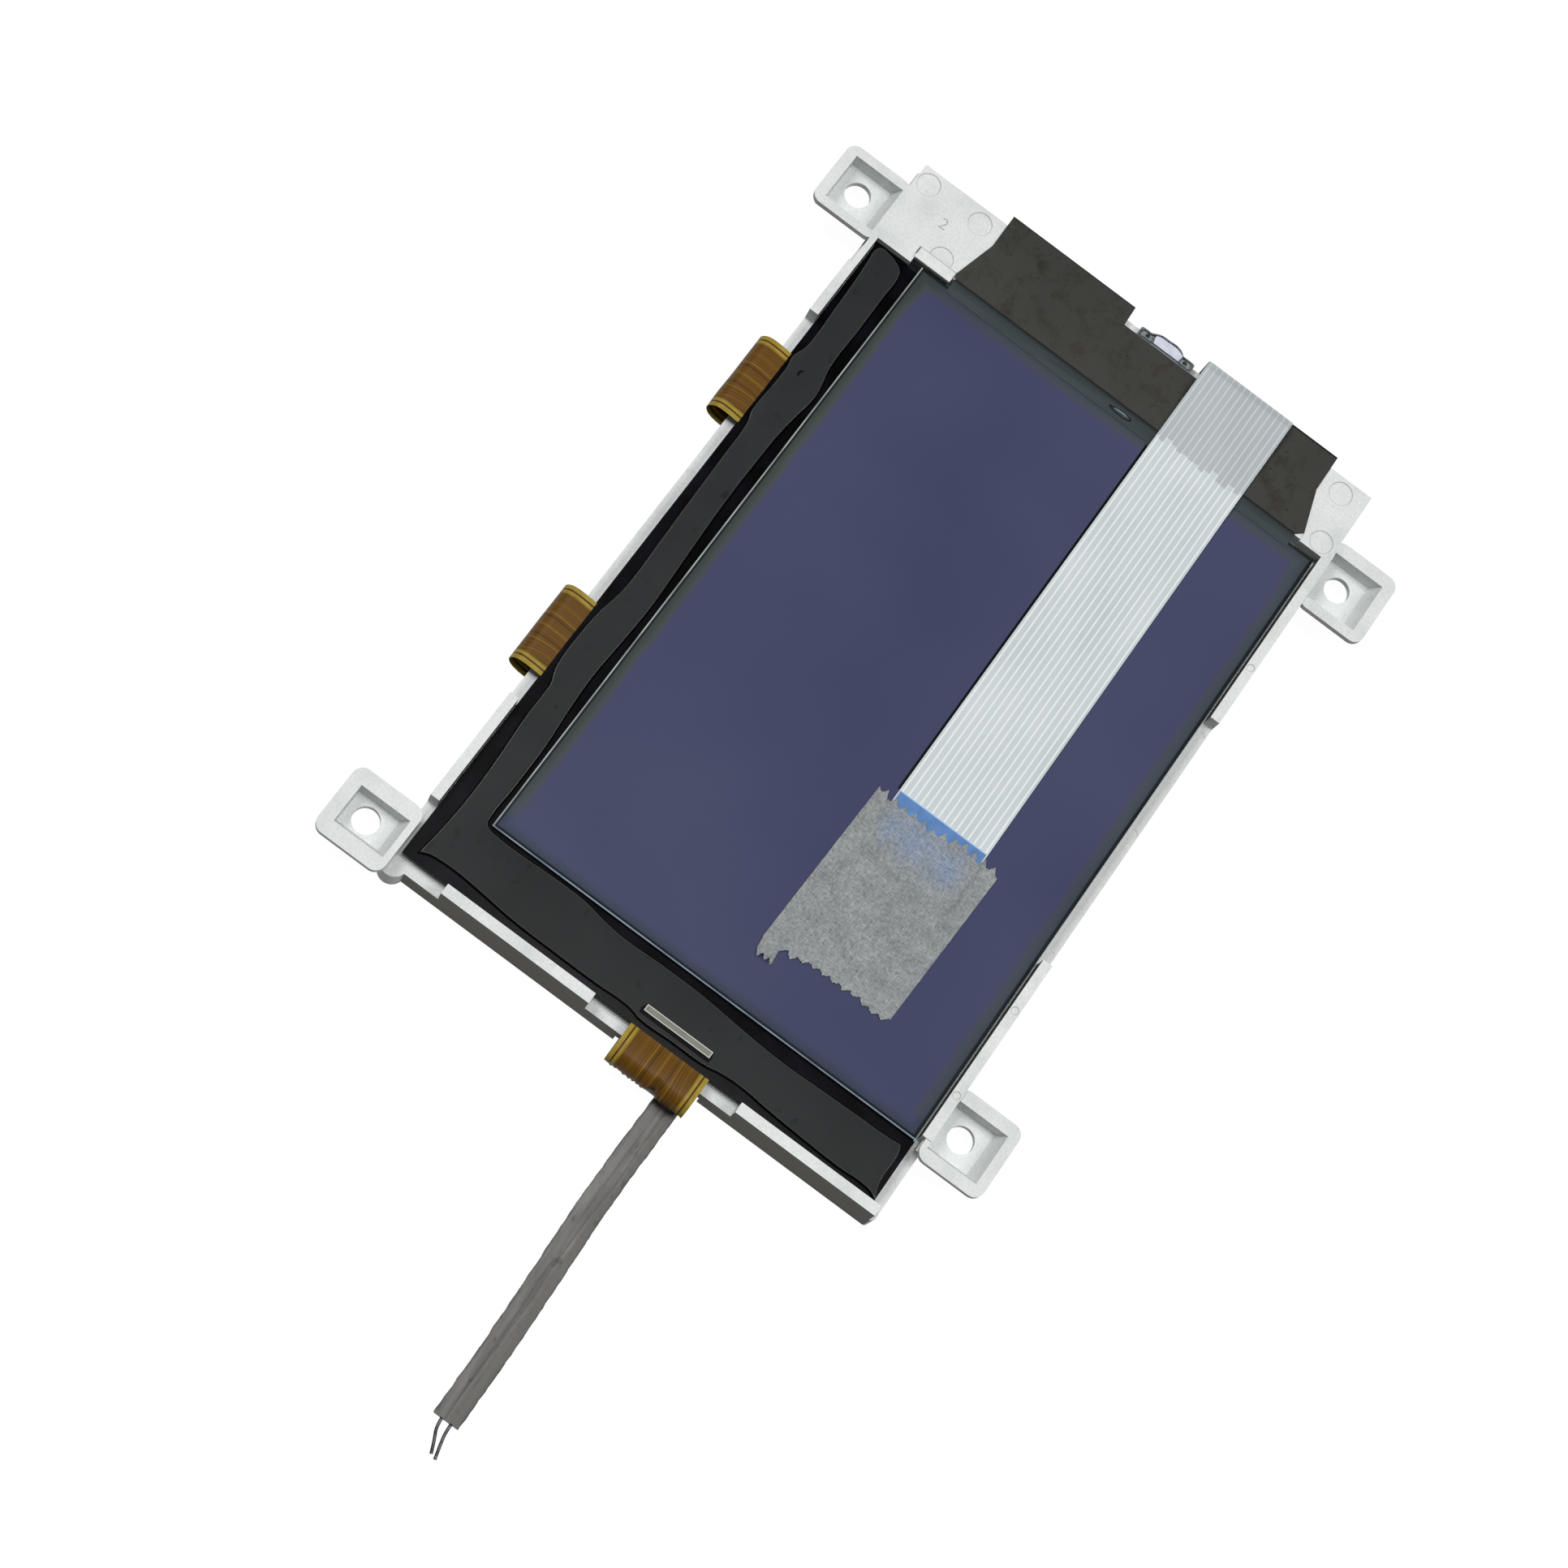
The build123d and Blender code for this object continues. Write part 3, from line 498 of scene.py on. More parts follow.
def blue_stiffener():
    # Blue polyester backing on the cable's end, with a bright cut edge towards the cable.
    made, tree, shader = surface("blue_stiffener", Roughness=0.4, IOR=1.5)
    edge = remap(tree, split(tree, on_part(tree))["X"], -17.1, -16.95)
    body = ramp(tree, grain(tree, 2.0, detail=5.0), [(0.3, "#44709F"), (0.5, "#4A77AF"), (0.7, "#517FB8")])
    paint(tree, shader, mixed(tree, edge, body, colour("#A9C2E2")))
    relief(tree, shader, grain(tree, 0.5), 0.02, 0.4)
    return made


def masking_paper():
    # Unbleached crepe paper: felted grey fibres a millimetre or two long, thin enough that the
    # blue end of the cable shows through in a cloud.
    made, tree, shader = surface("masking_paper", Roughness=0.85, IOR=1.4, Specular_IOR_Level=0.2)
    swirl = grain(tree, 1.6, detail=2.0)
    bent = mixed(tree, 0.35, on_part(tree), swirl, "ADD")
    fibre = add(tree, "ShaderNodeTexNoise", {
        "Vector": add(tree, "ShaderNodeMapping", {"Vector": bent, "Scale": (1.2, 3.6, 1.0)}),
        "Scale": 1.0, "Detail": 5.0, "Roughness": 0.6,
    })
    crossing = add(tree, "ShaderNodeTexNoise", {
        "Vector": add(tree, "ShaderNodeMapping", {
            "Vector": bent, "Scale": (3.6, 1.1, 1.0), "Rotation": (0, 0, 0.5)}),
        "Scale": 1.0, "Detail": 5.0, "Roughness": 0.6,
    })
    felt = maths(tree, "ADD", maths(tree, "MULTIPLY", fibre, 0.5), maths(tree, "MULTIPLY", crossing, 0.5))
    tone = ramp(tree, felt, [(0.36, "#727677"), (0.45, "#868A8B"), (0.55, "#969A9A"), (0.66, "#ACB0AF")])
    cloud = ramp(tree, grain(tree, 4.0, detail=3.0), [(0.3, "#E9E9E9"), (0.6, "#FFFFFF")])
    tone = mixed(tree, 1.0, tone, cloud, "MULTIPLY")
    place = split(tree, on_part(tree))
    over = both(tree, between(tree, place["X"], -24.5, -21.5, 4.0),
                between(tree, place["Y"], -22.0, -10.5, 4.0))
    blue = both(tree, over, remap(tree, grain(tree, 5.0, detail=6.0, rough=0.65), 0.32, 0.66, 0.1, 0.8))
    glow = ramp(tree, felt, [(0.36, "#62728F"), (0.5, "#7A8BA8"), (0.66, "#A0ADC2")])
    paint(tree, shader, mixed(tree, blue, tone, glow))
    relief(tree, shader, felt, 0.08, 0.6)
    return made


def pvc_sleeve():
    # Soft grey PVC tube, flattened and handled: a satin skin with scuffs and streaky grain,
    # painted shade along its -y side and a painted shade line on its crease.
    made, tree, shader = surface("pvc_sleeve", Roughness=0.5, IOR=1.5, Specular_IOR_Level=0.3)
    long_grain = grain(tree, 1.6, detail=6.0, rough=0.55, stretch=(0.12, 1, 1))
    tone = ramp(tree, long_grain, [(0.32, "#575653"), (0.5, "#696866"), (0.68, "#7B7A77")])
    scuff = ramp(tree, grain(tree, 1.6, detail=6.0, stretch=(0.6, 1, 1)), [
        (0.28, "#C4C3BF"), (0.38, "#FFFFFF")])
    across = split(tree, on_part(tree))["Y"]
    sway = remap(tree, grain(tree, 14.0), 0.3, 0.7, -0.3, 0.3)
    drift = maths(tree, "ADD", across, sway)
    # painted shade along the sleeve's -y side
    side_shade = maths(tree, "MULTIPLY", remap(tree, drift, -7.9, -8.5), 0.8)
    tone = mixed(tree, side_shade, tone, colour("#5B5A56"))
    # painted shade line on the crease
    crease = maths(tree, "MULTIPLY", between(tree, drift, -7.75, -7.6, 0.15), 0.6)
    tone = mixed(tree, crease, tone, colour("#4C4B48"))
    paint(tree, shader, mixed(tree, 1.0, tone, scuff, "MULTIPLY"))
    relief(tree, shader, long_grain, 0.06, 0.5)
    return made


def tinned_copper():
    # Tinned copper wire, dulled by handling: grey with a soft metal shine.
    made, tree, shader = surface("tinned_copper", Metallic=1.0, Roughness=0.42)
    paint(tree, shader, clouded(tree, 0.6, "#323234", "#5C5C60"))
    relief(tree, shader, grain(tree, 0.25, stretch=(0.3, 1, 1)), 0.03, 0.6)
    return made


def solder_alloy():
    # Solder-coated wire: dark grey metal, uneven where the solder ran.
    made, tree, shader = surface("solder_alloy", Metallic=0.8, Roughness=0.45)
    paint(tree, shader, clouded(tree, 0.5, "#3E4446", "#7B8284", detail=4.0))
    relief(tree, shader, grain(tree, 0.4), 0.06, 0.8)
    return made


def holder_nylon():
    # Natural nylon: milky white with a faint lilac cast, softly shiny.
    made, tree, shader = surface("holder_nylon", Roughness=0.35, IOR=1.53)
    paint(tree, shader, clouded(tree, 1.2, "#BFC2D2", "#D3D5E2", detail=4.0))
    relief(tree, shader, grain(tree, 0.7), 0.03, 0.5)
    return made


def solder_mask():
    # Green epoxy laminate: darker board, lighter where copper tracks lie under the mask, and
    # small tinned holes.
    made, tree, shader = surface("solder_mask", Roughness=0.35, IOR=1.55)
    place = split(tree, on_part(tree))
    block = add(tree, "ShaderNodeTexVoronoi", {"Vector": on_part(tree), "Scale": 1 / 17.0},
                distance="CHEBYCHEV")
    lie = remap(tree, split(tree, block.outputs["Color"])["X"], 0.49, 0.51)
    rows = maths(tree, "PINGPONG", place["Y"], 0.55)
    columns = maths(tree, "PINGPONG", place["X"], 0.55)
    run = add(tree, "ShaderNodeMix", {"Factor": lie, "A": rows, "B": columns}, data_type="FLOAT")
    track = remap(tree, run, 0.3, 0.24)
    dense = remap(tree, split(tree, block.outputs["Color"])["Y"], 0.3, 0.32)
    track = both(tree, track, dense)
    green = mixed(tree, track, colour("#1B4E33"), colour("#2F7049"))
    pads = add(tree, "ShaderNodeTexVoronoi", {"Vector": on_part(tree, (1, 1, 0)), "Scale": 1 / 6.5})
    hole = remap(tree, pads.outputs["Distance"], 0.075, 0.065)
    paint(tree, shader, mixed(tree, hole, green, colour("#B9BBB4")))
    relief(tree, shader, track, 0.04, 0.6)
    return made


def moulded_package():
    # Black epoxy moulding compound with a matt skin, and tinned leads level with the board.
    made, tree, shader = surface("moulded_package", IOR=1.5, Roughness=0.5)
    height = split(tree, on_part(tree))["Z"]
    lead = remap(tree, height, 1.66, 1.69)
    body = clouded(tree, 0.8, "#1C1C1E", "#262628", detail=4.0)
    paint(tree, shader, mixed(tree, lead, body, colour("#A9AAAA")))
    relief(tree, shader, grain(tree, 0.3), 0.02, 0.5)
    return made


def ceramic_chip():
    # Fired brown ceramic with tinned ends, at the pitch of the row.
    made, tree, shader = surface("barium_ceramic", Roughness=0.4, IOR=1.6)
    place = split(tree, on_part(tree))
    step = maths(tree, "MODULO", maths(tree, "ADD", place["X"], 46.0), 8.0)
    in_row = apart(tree, step, 4.0)
    in_column = apart(tree, place["X"], 40.0)
    is_row = remap(tree, place["Y"], 24.0, 25.0)
    reach = add(tree, "ShaderNodeMix", {"Factor": is_row, "A": in_column, "B": in_row}, data_type="FLOAT")
    tin = remap(tree, reach, 0.62, 0.66)
    body = clouded(tree, 0.5, "#8C7350", "#A88E68")
    paint(tree, shader, mixed(tree, tin, body, colour("#B9BABA")))
    relief(tree, shader, grain(tree, 0.4), 0.02, 0.5)
    return made


def tantalum_case():
    # Moulded yellow epoxy with a darker bar at the positive end and tinned tabs.
    made, tree, shader = surface("tantalum_case", Roughness=0.45, IOR=1.5)
    place = split(tree, on_part(tree))
    step = maths(tree, "MODULO", maths(tree, "ADD", place["X"], 58.0), 12.0)
    reach = maths(tree, "SUBTRACT", step, 6.0)
    bar = between(tree, reach, 1.5, 2.2, 0.05)
    tin = remap(tree, maths(tree, "ABSOLUTE", reach), 2.72, 2.76)
    body = clouded(tree, 0.9, "#B97F28", "#C98F36")
    body = mixed(tree, bar, body, colour("#6B3D12"))
    paint(tree, shader, mixed(tree, tin, body, colour("#B4B5B5")))
    relief(tree, shader, grain(tree, 0.4), 0.02, 0.5)
    return made


FINISHES = {
    "frame": moulded_abs(),
    "rear_glass": soda_lime_glass(),
    "front_polarizer": polarizer_film(),
    "rear_polarizer": plain("rear_polarizer_film", "#5E6266", 0.35),
    "glass_cushion": plain("foam_gasket", "#33322F", 0.9, 0.3, 0.05),
    "ledge_sealant": plain("cured_resin", "#1B1C1D", 0.4),
    "driver_bar": coated_glass_bar(),
    "driver_tape_upper": plain("polyimide_film", "#7A5516", 0.3),
    "driver_chip_upper": plain("epoxy_cap", "#1B1B1D", 0.5),
    "rear_board": solder_mask(),
    "reflector_sheet": plain("white_polyester", "#DDE0E0", 0.4),
    "light_guide": plain("cast_acrylic", "#D3DBDB", 0.15),
    "lamp_bar": plain("lamp_housing", "#CFCFC8", 0.4),
    "board_screws": plain("zinc_plated_steel", "#B4B5B2", 0.35, Metallic=1.0),
    "black_sheet": plain("polyester_sheet", "#3A3936", 0.55),
    "flat_cable": plain("cable_polyester", "#C8CED0", 0.35),
    "cable_stiffener": blue_stiffener(),
    "masking_tape": plain("crepe_paper", "#8E9392", 0.8),
    "lamp_holder": plain("grey_nylon", "#7C8284", 0.45),
    "lamp_block": holder_nylon(),
    "controller_chip": moulded_package(),
    "chip_capacitors": ceramic_chip(),
    "storage_capacitors": tantalum_case(),
    "contrast_trimmer": plain("trimmer_plastic", "#4A6CA2", 0.45),
    "cable_connector": plain("connector_nylon", "#D8D2C2", 0.5),
    "lead_sleeve": plain("sleeve_tube", "#777674", 0.45),
    "lead_wires": plain("tinned_wire", "#8F8F92", 0.35, Metallic=1.0),
}
SAME_FINISH = {
    "front_glass": "rear_glass", "driver_tape_lower": "driver_tape_upper",
    "driver_tape_end": "driver_tape_upper", "driver_chip_lower": "driver_chip_upper",
    "driver_chip_end": "driver_chip_upper", "diffuser_sheet": "reflector_sheet",
    "memory_chip": "controller_chip", "bias_amplifier": "controller_chip",
    "lead_terminal": "cable_connector",
}


def finish_solids():
    """Gives each of the part's own solids its material."""
    for name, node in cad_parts.items():
        node.data.materials.clear()
        node.data.materials.append(FINISHES[SAME_FINISH.get(name, name)])


# The lamp lead comes first: its sleeve follows the route of the part, drawn as one smooth line.
SLEEVE_ROUTE = (
    (-68.3, -7.1, 0.75), (-84.0, -7.1, 0.75), (-100.0, -6.8, 0.75),
    (-117.0, -7.5, 0.75), (-131.0, -8.0, 0.75), (-143.7, -8.0, 0.75),
)
SLEEVE_WIDTH = 4.3
SLEEVE_THICKNESS = 1.5
WIRE_RADIUS = 0.28
WIRE_ROUTES = (
    ((-142.4, -7.2, 0.6), (-145.0, -7.2, 0.6), (-147.2, -8.4, 0.45), (-149.1, -9.2, 0.31)),
    ((-142.4, -9.0, 0.6), (-145.0, -9.0, 0.6), (-147.4, -9.6, 0.45), (-149.5, -10.2, 0.31)),
)


def deselect():
    if bpy.context.object and bpy.context.object.mode == "EDIT":
        bpy.ops.object.mode_set(mode="OBJECT")
    bpy.ops.object.select_all(action="DESELECT")


def choose(*pieces):
    """Selects these pieces alone, the first one active."""
    deselect()
    for piece in pieces:
        piece.select_set(True)
    bpy.context.view_layer.objects.active = pieces[0]


def clean(piece):
    """Joins doubled corners and turns the faces outwards."""
    choose(piece)
    bpy.ops.object.mode_set(mode="EDIT")
    bpy.ops.mesh.select_all(action="SELECT")
    bpy.ops.mesh.remove_doubles(threshold=0.002 * MM)
    bpy.ops.mesh.normals_make_consistent(inside=False)
    bpy.ops.object.mode_set(mode="OBJECT")


def modify(piece, kind, **settings):
    """Adds a modifier and applies it at once."""
    choose(piece)
    made = piece.modifiers.new(kind.lower(), kind)
    for name, value in settings.items():
        setattr(made, name, value)
    bpy.ops.object.modifier_apply(modifier=made.name)


def settle(piece, finish, *nodes, slot=None, angle=35.0):
    """Smooths a finished piece, gives it its material and hides the part's nodes that it stands for."""
    choose(piece)
    bpy.ops.object.shade_smooth_by_angle(angle=math.radians(angle))
    piece.data.materials.clear()
    piece.data.materials.append(finish)
    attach(piece, "root")
    if nodes:
        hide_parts(*nodes)
    return piece


def smooth_line(name, points, steps=12):
    """A curve object on one smooth line with these control points."""
    data = bpy.data.curves.new(name, "CURVE")
    data.dimensions = "3D"
    data.resolution_u = steps
    line = data.splines.new("NURBS")
    line.points.add(len(points) - 1)
    for point, place in zip(line.points, points):
        point.co = (*at(*place), 1.0)
    line.order_u = 3
    line.use_endpoint_u = True
    made = bpy.data.objects.new(name, data)
    bpy.context.scene.collection.objects.link(made)
    return made


def points_along(name, points, steps=12):
    """The places that a smooth line runs through."""
    line = smooth_line(name, points, steps)
    mesh = bpy.data.meshes.new_from_object(line)
    places = [vertex.co.copy() for vertex in mesh.vertices]
    bpy.data.meshes.remove(mesh)
    bpy.data.objects.remove(line)
    return places


def round_bar(name, points, radius, steps=12, sides=3):
    """A round bar or wire along a smooth line, closed at both ends."""
    line = smooth_line(name, points, steps)
    line.data.bevel_depth = radius * MM
    line.data.bevel_resolution = sides
    line.data.use_fill_caps = True
    choose(line)
    bpy.ops.object.convert(target="MESH")
    clean(line)
    return line


def shaped_grid(name, along, across, place):
    """A sheet of along by across cells, each corner put where place(u, v) says."""
    deselect()
    bpy.ops.mesh.primitive_grid_add(x_subdivisions=along, y_subdivisions=across, size=2.0)
    piece = bpy.context.object
    piece.name = piece.data.name = name
    for vertex in piece.data.vertices:
        vertex.co = place((vertex.co.x + 1) / 2, (vertex.co.y + 1) / 2)
    return piece


def drawn_slab(name, points, low, high, edge=0.0, sharp=(), steps=5):
    """A slab inside a drawn outline, curved between its points except at the sharp ones.

    The rim is rounded outwards by edge millimetres.
    """
    data = bpy.data.curves.new(name, "CURVE")
    data.dimensions = "2D"
    data.fill_mode = "BOTH"
    data.resolution_u = steps
    line = data.splines.new("BEZIER")
    line.bezier_points.add(len(points) - 1)
    for count, (point, (x, y)) in enumerate(zip(line.bezier_points, points)):
        point.co = at(x, y, 0)
        point.handle_left_type = point.handle_right_type = "VECTOR" if count in sharp else "AUTO"
    line.use_cyclic_u = True
    data.bevel_depth = edge * MM
    data.bevel_resolution = 4
    data.extrude = ((high - low) / 2 - edge) * MM
    piece = bpy.data.objects.new(name, data)
    bpy.context.scene.collection.objects.link(piece)
    choose(piece)
    bpy.ops.object.convert(target="MESH")
    piece.location.z = (low + high) / 2 * MM
    bpy.ops.object.transform_apply(location=True, rotation=True, scale=True)
    clean(piece)
    return piece


def blend_between(low, high, value):
    """0 below low, 1 above high and smooth between them."""
    share = min(max((value - low) / (high - low), 0.0), 1.0)
    return share * share * (3 - 2 * share)


def read_off(table, value):
    """Reads a table of (place, amount) pairs, in straight runs between its places."""
    for (start, first), (end, last) in zip(table, table[1:]):
        if value <= end:
            share = max(value - start, 0.0) / (end - start)
            return first + (last - first) * share
    return table[-1][1]


def lay_lamp_lead():
    """A flattened sleeve with a crease along it and a crumpled skin, and its two bare wires."""
    profile = bpy.data.curves.new("sleeve_profile", "CURVE")
    profile.dimensions = "2D"
    line = profile.splines.new("NURBS")
    half, depth = SLEEVE_WIDTH * 0.56 * MM, SLEEVE_THICKNESS / 2 * MM
    corners = (
        (-half, 0), (-half, depth), (-half * 0.4, depth), (half * 0.1, depth * 0.5), (half * 0.3, depth),
        (half, depth), (half, 0), (half, -depth), (0, -depth), (-half, -depth),
    )
    line.points.add(len(corners) - 1)
    for point, (across, up) in zip(line.points, corners):
        point.co = (across, up, 0, 1)
    line.use_cyclic_u = True
    line.order_u = 3
    line.resolution_u = 5
    section = bpy.data.objects.new("sleeve_profile", profile)
    bpy.context.scene.collection.objects.link(section)
    sleeve = smooth_line("lamp_lead_sleeve", SLEEVE_ROUTE, 48)
    sleeve.data.twist_mode = "Z_UP"
    sleeve.data.bevel_mode = "OBJECT"
    sleeve.data.bevel_object = section
    sleeve.data.use_fill_caps = True
    choose(sleeve)
    bpy.ops.object.convert(target="MESH")
    bpy.data.objects.remove(section)
    clean(sleeve)
    floor_level = min(vertex.co.z for vertex in sleeve.data.vertices)
    for vertex in sleeve.data.vertices:
        place = vertex.co / MM
        ripple = noise.noise(place * 0.7) * 0.16 + noise.noise(place * 2.3) * 0.07
        upper = blend_between(0.3, 1.0, place.z)
        vertex.co.z += ripple * upper * 0.7 * MM
        vertex.co.y += ripple * 0.8 * MM
        vertex.co.z = max(vertex.co.z, floor_level, 0.0)
    route = points_along("sleeve_path", SLEEVE_ROUTE, 24)
    settle(sleeve, pvc_sleeve(), "lead_sleeve", angle=60.0)
    wires = [round_bar(f"bare_wire_{count}", course, WIRE_RADIUS)
             for count, course in enumerate(WIRE_ROUTES)]
    choose(*wires)
    bpy.ops.object.join()
    wires[0].name = wires[0].data.name = "lamp_lead_wires"
    settle(wires[0], tinned_copper(), "lead_wires", angle=60.0)
    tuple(route[0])


# Outline of the flat top of the black resin, round the two ledges of the rear glass.
RESIN_OUTLINE = (
    (61.2, 50.7), (59.0, 50.6), (54.8, 50.3), (46.6, 50.0), (39.5, 49.75), (38.0, 49.9),
    (36.4, 50.4), (35.0, 50.65), (33.5, 50.4), (28.5, 50.4), (24.1, 50.6), (22.3, 50.45),
    (21.0, 50.0), (18.8, 49.75), (12.4, 49.6), (2.0, 49.4), (-6.0, 49.2), (-15.4, 49.0),
    (-18.4, 49.2), (-20.9, 49.6), (-23.1, 50.0), (-28.5, 50.3), (-34.6, 50.15), (-36.2, 49.8),
    (-38.0, 49.1), (-40.0, 48.98), (-45.6, 48.95), (-53.9, 48.45), (-60.0, 48.25), (-68.3, 48.5),
    (-74.0, 49.05),
    (-73.5, 47.8), (-73.25, 46.0), (-73.15, 43.0), (-73.5, 37.3), (-74.05, 31.0), (-74.2, 22.4),
    (-74.2, 14.0), (-74.0, 8.2), (-74.2, 6.6), (-74.6, 5.0), (-74.5, -1.3), (-74.35, -8.4),
    (-73.95, -10.2), (-73.65, -14.4), (-74.1, -20.8), (-74.45, -28.0), (-74.65, -35.0),
    (-74.5, -40.2), (-74.8, -41.8), (-75.12, -42.4),
    (-73.84, -41.95), (-72.0, -41.64), (-68.6, -41.7), (-66.8, -41.55), (-65.95, -41.2),
    (-66.2, -38.7), (-66.3, -33.5), (-66.5, -26.3), (-66.7, -18.0), (-66.3, -9.5), (-65.7, -1.0),
    (-65.64, 7.1), (-65.84, 14.5), (-65.5, 18.6), (-64.8, 23.0), (-64.68, 28.9), (-64.95, 36.5),
    (-64.85, 41.0), (-64.55, 42.85), (-63.9, 43.65), (-62.8, 43.9),
    (-56.5, 43.8), (-47.0, 43.9), (-40.0, 44.45), (-33.2, 44.75), (-24.9, 44.4), (-17.2, 44.15),
    (-6.0, 44.6), (6.0, 45.05), (17.6, 45.0), (22.5, 44.85), (27.1, 44.35), (31.0, 43.85),
    (33.7, 44.05), (37.5, 44.85), (46.7, 44.93), (55.0, 45.04), (59.6, 45.14), (60.6, 45.6),
    (61.4, 46.9), (61.9, 48.8), (61.9, 50.2),
)
RESIN_CUSPS = (30, 50, 55)
RESIN_TOP = 8.0
RESIN_SHOULDER = 0.44
RESIN_MARGIN = (
    (-75.95, -42.9), (-63.82, -42.9), (-63.82, 42.72), (62.55, 42.72), (62.55, 51.5), (-75.95, 51.5),
)
MARGIN_HEIGHT = (7.02, 7.36)
# height of the thin black sheet laid as painted shadow of the glass bar
BAR_SHADOW_HEIGHT = (7.96, 8.015)
NICK_HEIGHT = (7.96, 8.012)
NICK = ((34.3, 48.0), (33.7, 48.5), (33.0, 48.35), (32.9, 48.15), (33.6, 48.2), (34.1, 47.85))
# outline of the thin black sheet laid as painted shadow of the glass bar
BAR_SHADOW_OUTLINE = ((-74.0, 5.6), (-74.0, -8.2), (-73.2, -8.35), (-71.98, -8.05), (-71.98, 5.3), (-73.2, 5.8))


def pour_resin():
    """The resin: a flat crown with rounded shoulders on a lower glossy margin."""
    resin = silicone_resin()
    crown = drawn_slab(
        "resin_crown", RESIN_OUTLINE, RESIN_TOP - 2 * RESIN_SHOULDER, RESIN_TOP,
        edge=RESIN_SHOULDER * 0.999, sharp=RESIN_CUSPS,
    )
    settle(crown, resin, "ledge_sealant", angle=50.0)
    margin = drawn_slab("resin_margin", RESIN_MARGIN, *MARGIN_HEIGHT, edge=0.1, sharp=range(6))
    settle(margin, resin_shadow(), "ledge_sealant", angle=50.0)
    # a thin black sheet laid as painted shadow of the glass bar
    shadow_sheet = drawn_slab("bar_shadow", BAR_SHADOW_OUTLINE, *BAR_SHADOW_HEIGHT, sharp=range(6))
    settle(shadow_sheet, resin_shadow(), slot="sealant_resin")
    nick = drawn_slab("resin_nick", NICK, *NICK_HEIGHT)
    settle(nick, resin_shadow(), slot="sealant_resin")


TAPE_COURSE = (
    (47.6, 7.15), (51.0, 7.15), (53.5, 7.75), (56.3, 7.7),
    (57.9, 4.9), (56.2, 1.9), (50.0, 1.85), (43.6, 1.85),
)
END_TAPE_COURSE = (
    (72.0, 7.15), (75.8, 7.15), (78.8, 7.75), (81.9, 7.7),
    (83.5, 4.9), (81.8, 1.9), (75.0, 1.85), (68.5, 1.85),
)
TAPE_THICKNESS = 0.1
# Where each side tape starts and ends in x, and the end tape's start in y and its width.
SIDE_TAPES = (("upper", (19.6, 35.9)), ("lower", (-38.0, -21.9)))
END_TAPE_START = -10.0
END_TAPE_WIDTH = 15.6


def curl_tapes():
    """The three driver tapes, each one sheet that loops from the ledge to the rear board."""
    film = polyimide_tape()
    for name, span in SIDE_TAPES:
        course = points_along("tape_course", [(0, y, z) for y, z in TAPE_COURSE], 14)

        def across(u, v, course=course, span=span):
            place = course[round(u * (len(course) - 1))].copy()
            uneven = noise.noise(Vector((v * 3.0, u * 2.0, span[0])))
            slack = math.sin(math.pi * min(u * 1.3, 1.0)) * uneven
            place.x = at(span[0] + (span[1] - span[0]) * v, 0, 0).x
            place.y += slack * 0.25 * MM * (1 - v)
            return place

        strip = shaped_grid(f"driver_strip_{name}", len(course) - 1, 24, across)
        modify(strip, "SOLIDIFY", thickness=TAPE_THICKNESS * MM, offset=0.0)
        settle(strip, film, f"driver_tape_{name}", angle=60.0)

    course = points_along("tape_course", [(-x, 0, z) for x, z in END_TAPE_COURSE], 14)

    def across_end(u, v):
        place = course[round(u * (len(course) - 1))].copy()
        y = END_TAPE_START + END_TAPE_WIDTH * v
        place.y = at(0, y, 0).y
        ragged = noise.noise(Vector((y * 2.2, 0.3, 0))) * 0.2
        scallop = 0.22 * abs(math.sin(math.pi * y / 0.85)) * blend_between(-4.0, -3.0, y)
        notch = 0.8 * math.exp(-(((y + 3.6) / 0.7) ** 2))
        bulge = 1 - blend_between(-82.6, -80.0, (place.x - CENTRE_X) / MM)
        place.x += (ragged + scallop + notch) * bulge * MM
        return place

    strip = shaped_grid("driver_strip_end", len(course) - 1, 80, across_end)
    modify(strip, "SOLIDIFY", thickness=TAPE_THICKNESS * MM, offset=0.0)
    settle(strip, film, "driver_tape_end", angle=60.0)


COVER_OUTLINE = (
    (82.0, 35.2), (82.0, 8.6), (77.95, 8.4), (77.95, -25.9), (82.2, -25.9), (82.2, -35.7),
    (74.7, -35.8), (66.4, -38.4), (65.15, -37.0), (65.15, 36.6), (66.2, 37.2), (74.8, 35.1),
)
# The sheet's underside and top, and where its flap starts in y, how long and how thick it is.
COVER_HEIGHT = (9.0, 9.2)
FLAP_START = -37.2
FLAP_LENGTH = 74.0
FLAP_THICKNESS = 0.06
FLAP_PROFILE = ((62.5, 8.43), (63.4, 8.47), (63.9, 8.62), (64.5, 8.95), (65.25, 9.1))


def lay_black_cover():
    """The black sheet on the plate, and its thinner flap that runs down on to the screen."""
    cover = drawn_slab(
        "black_cover", COVER_OUTLINE, *COVER_HEIGHT, edge=0.04, sharp=range(len(COVER_OUTLINE)),
    )
    settle(cover, black_polyester(), "black_sheet")

    def down_to_screen(u, v):
        x = FLAP_PROFILE[0][0] + (FLAP_PROFILE[-1][0] - FLAP_PROFILE[0][0]) * u
        y = FLAP_START + FLAP_LENGTH * v
        off_x, off_y = (
            (value - middle) / reach
            for value, middle, reach in zip((x, y), BLISTER, BLISTER_REACH))
        blister = 0.25 * math.exp(-(off_y ** 2) - (off_x ** 2))
        return at(x, y, read_off(FLAP_PROFILE, x) + blister)

    flap = shaped_grid("cover_flap", 20, 148, down_to_screen)
    modify(flap, "SOLIDIFY", thickness=FLAP_THICKNESS * MM, offset=1.0)
    settle(flap, flap_film(), "black_sheet", angle=60.0)


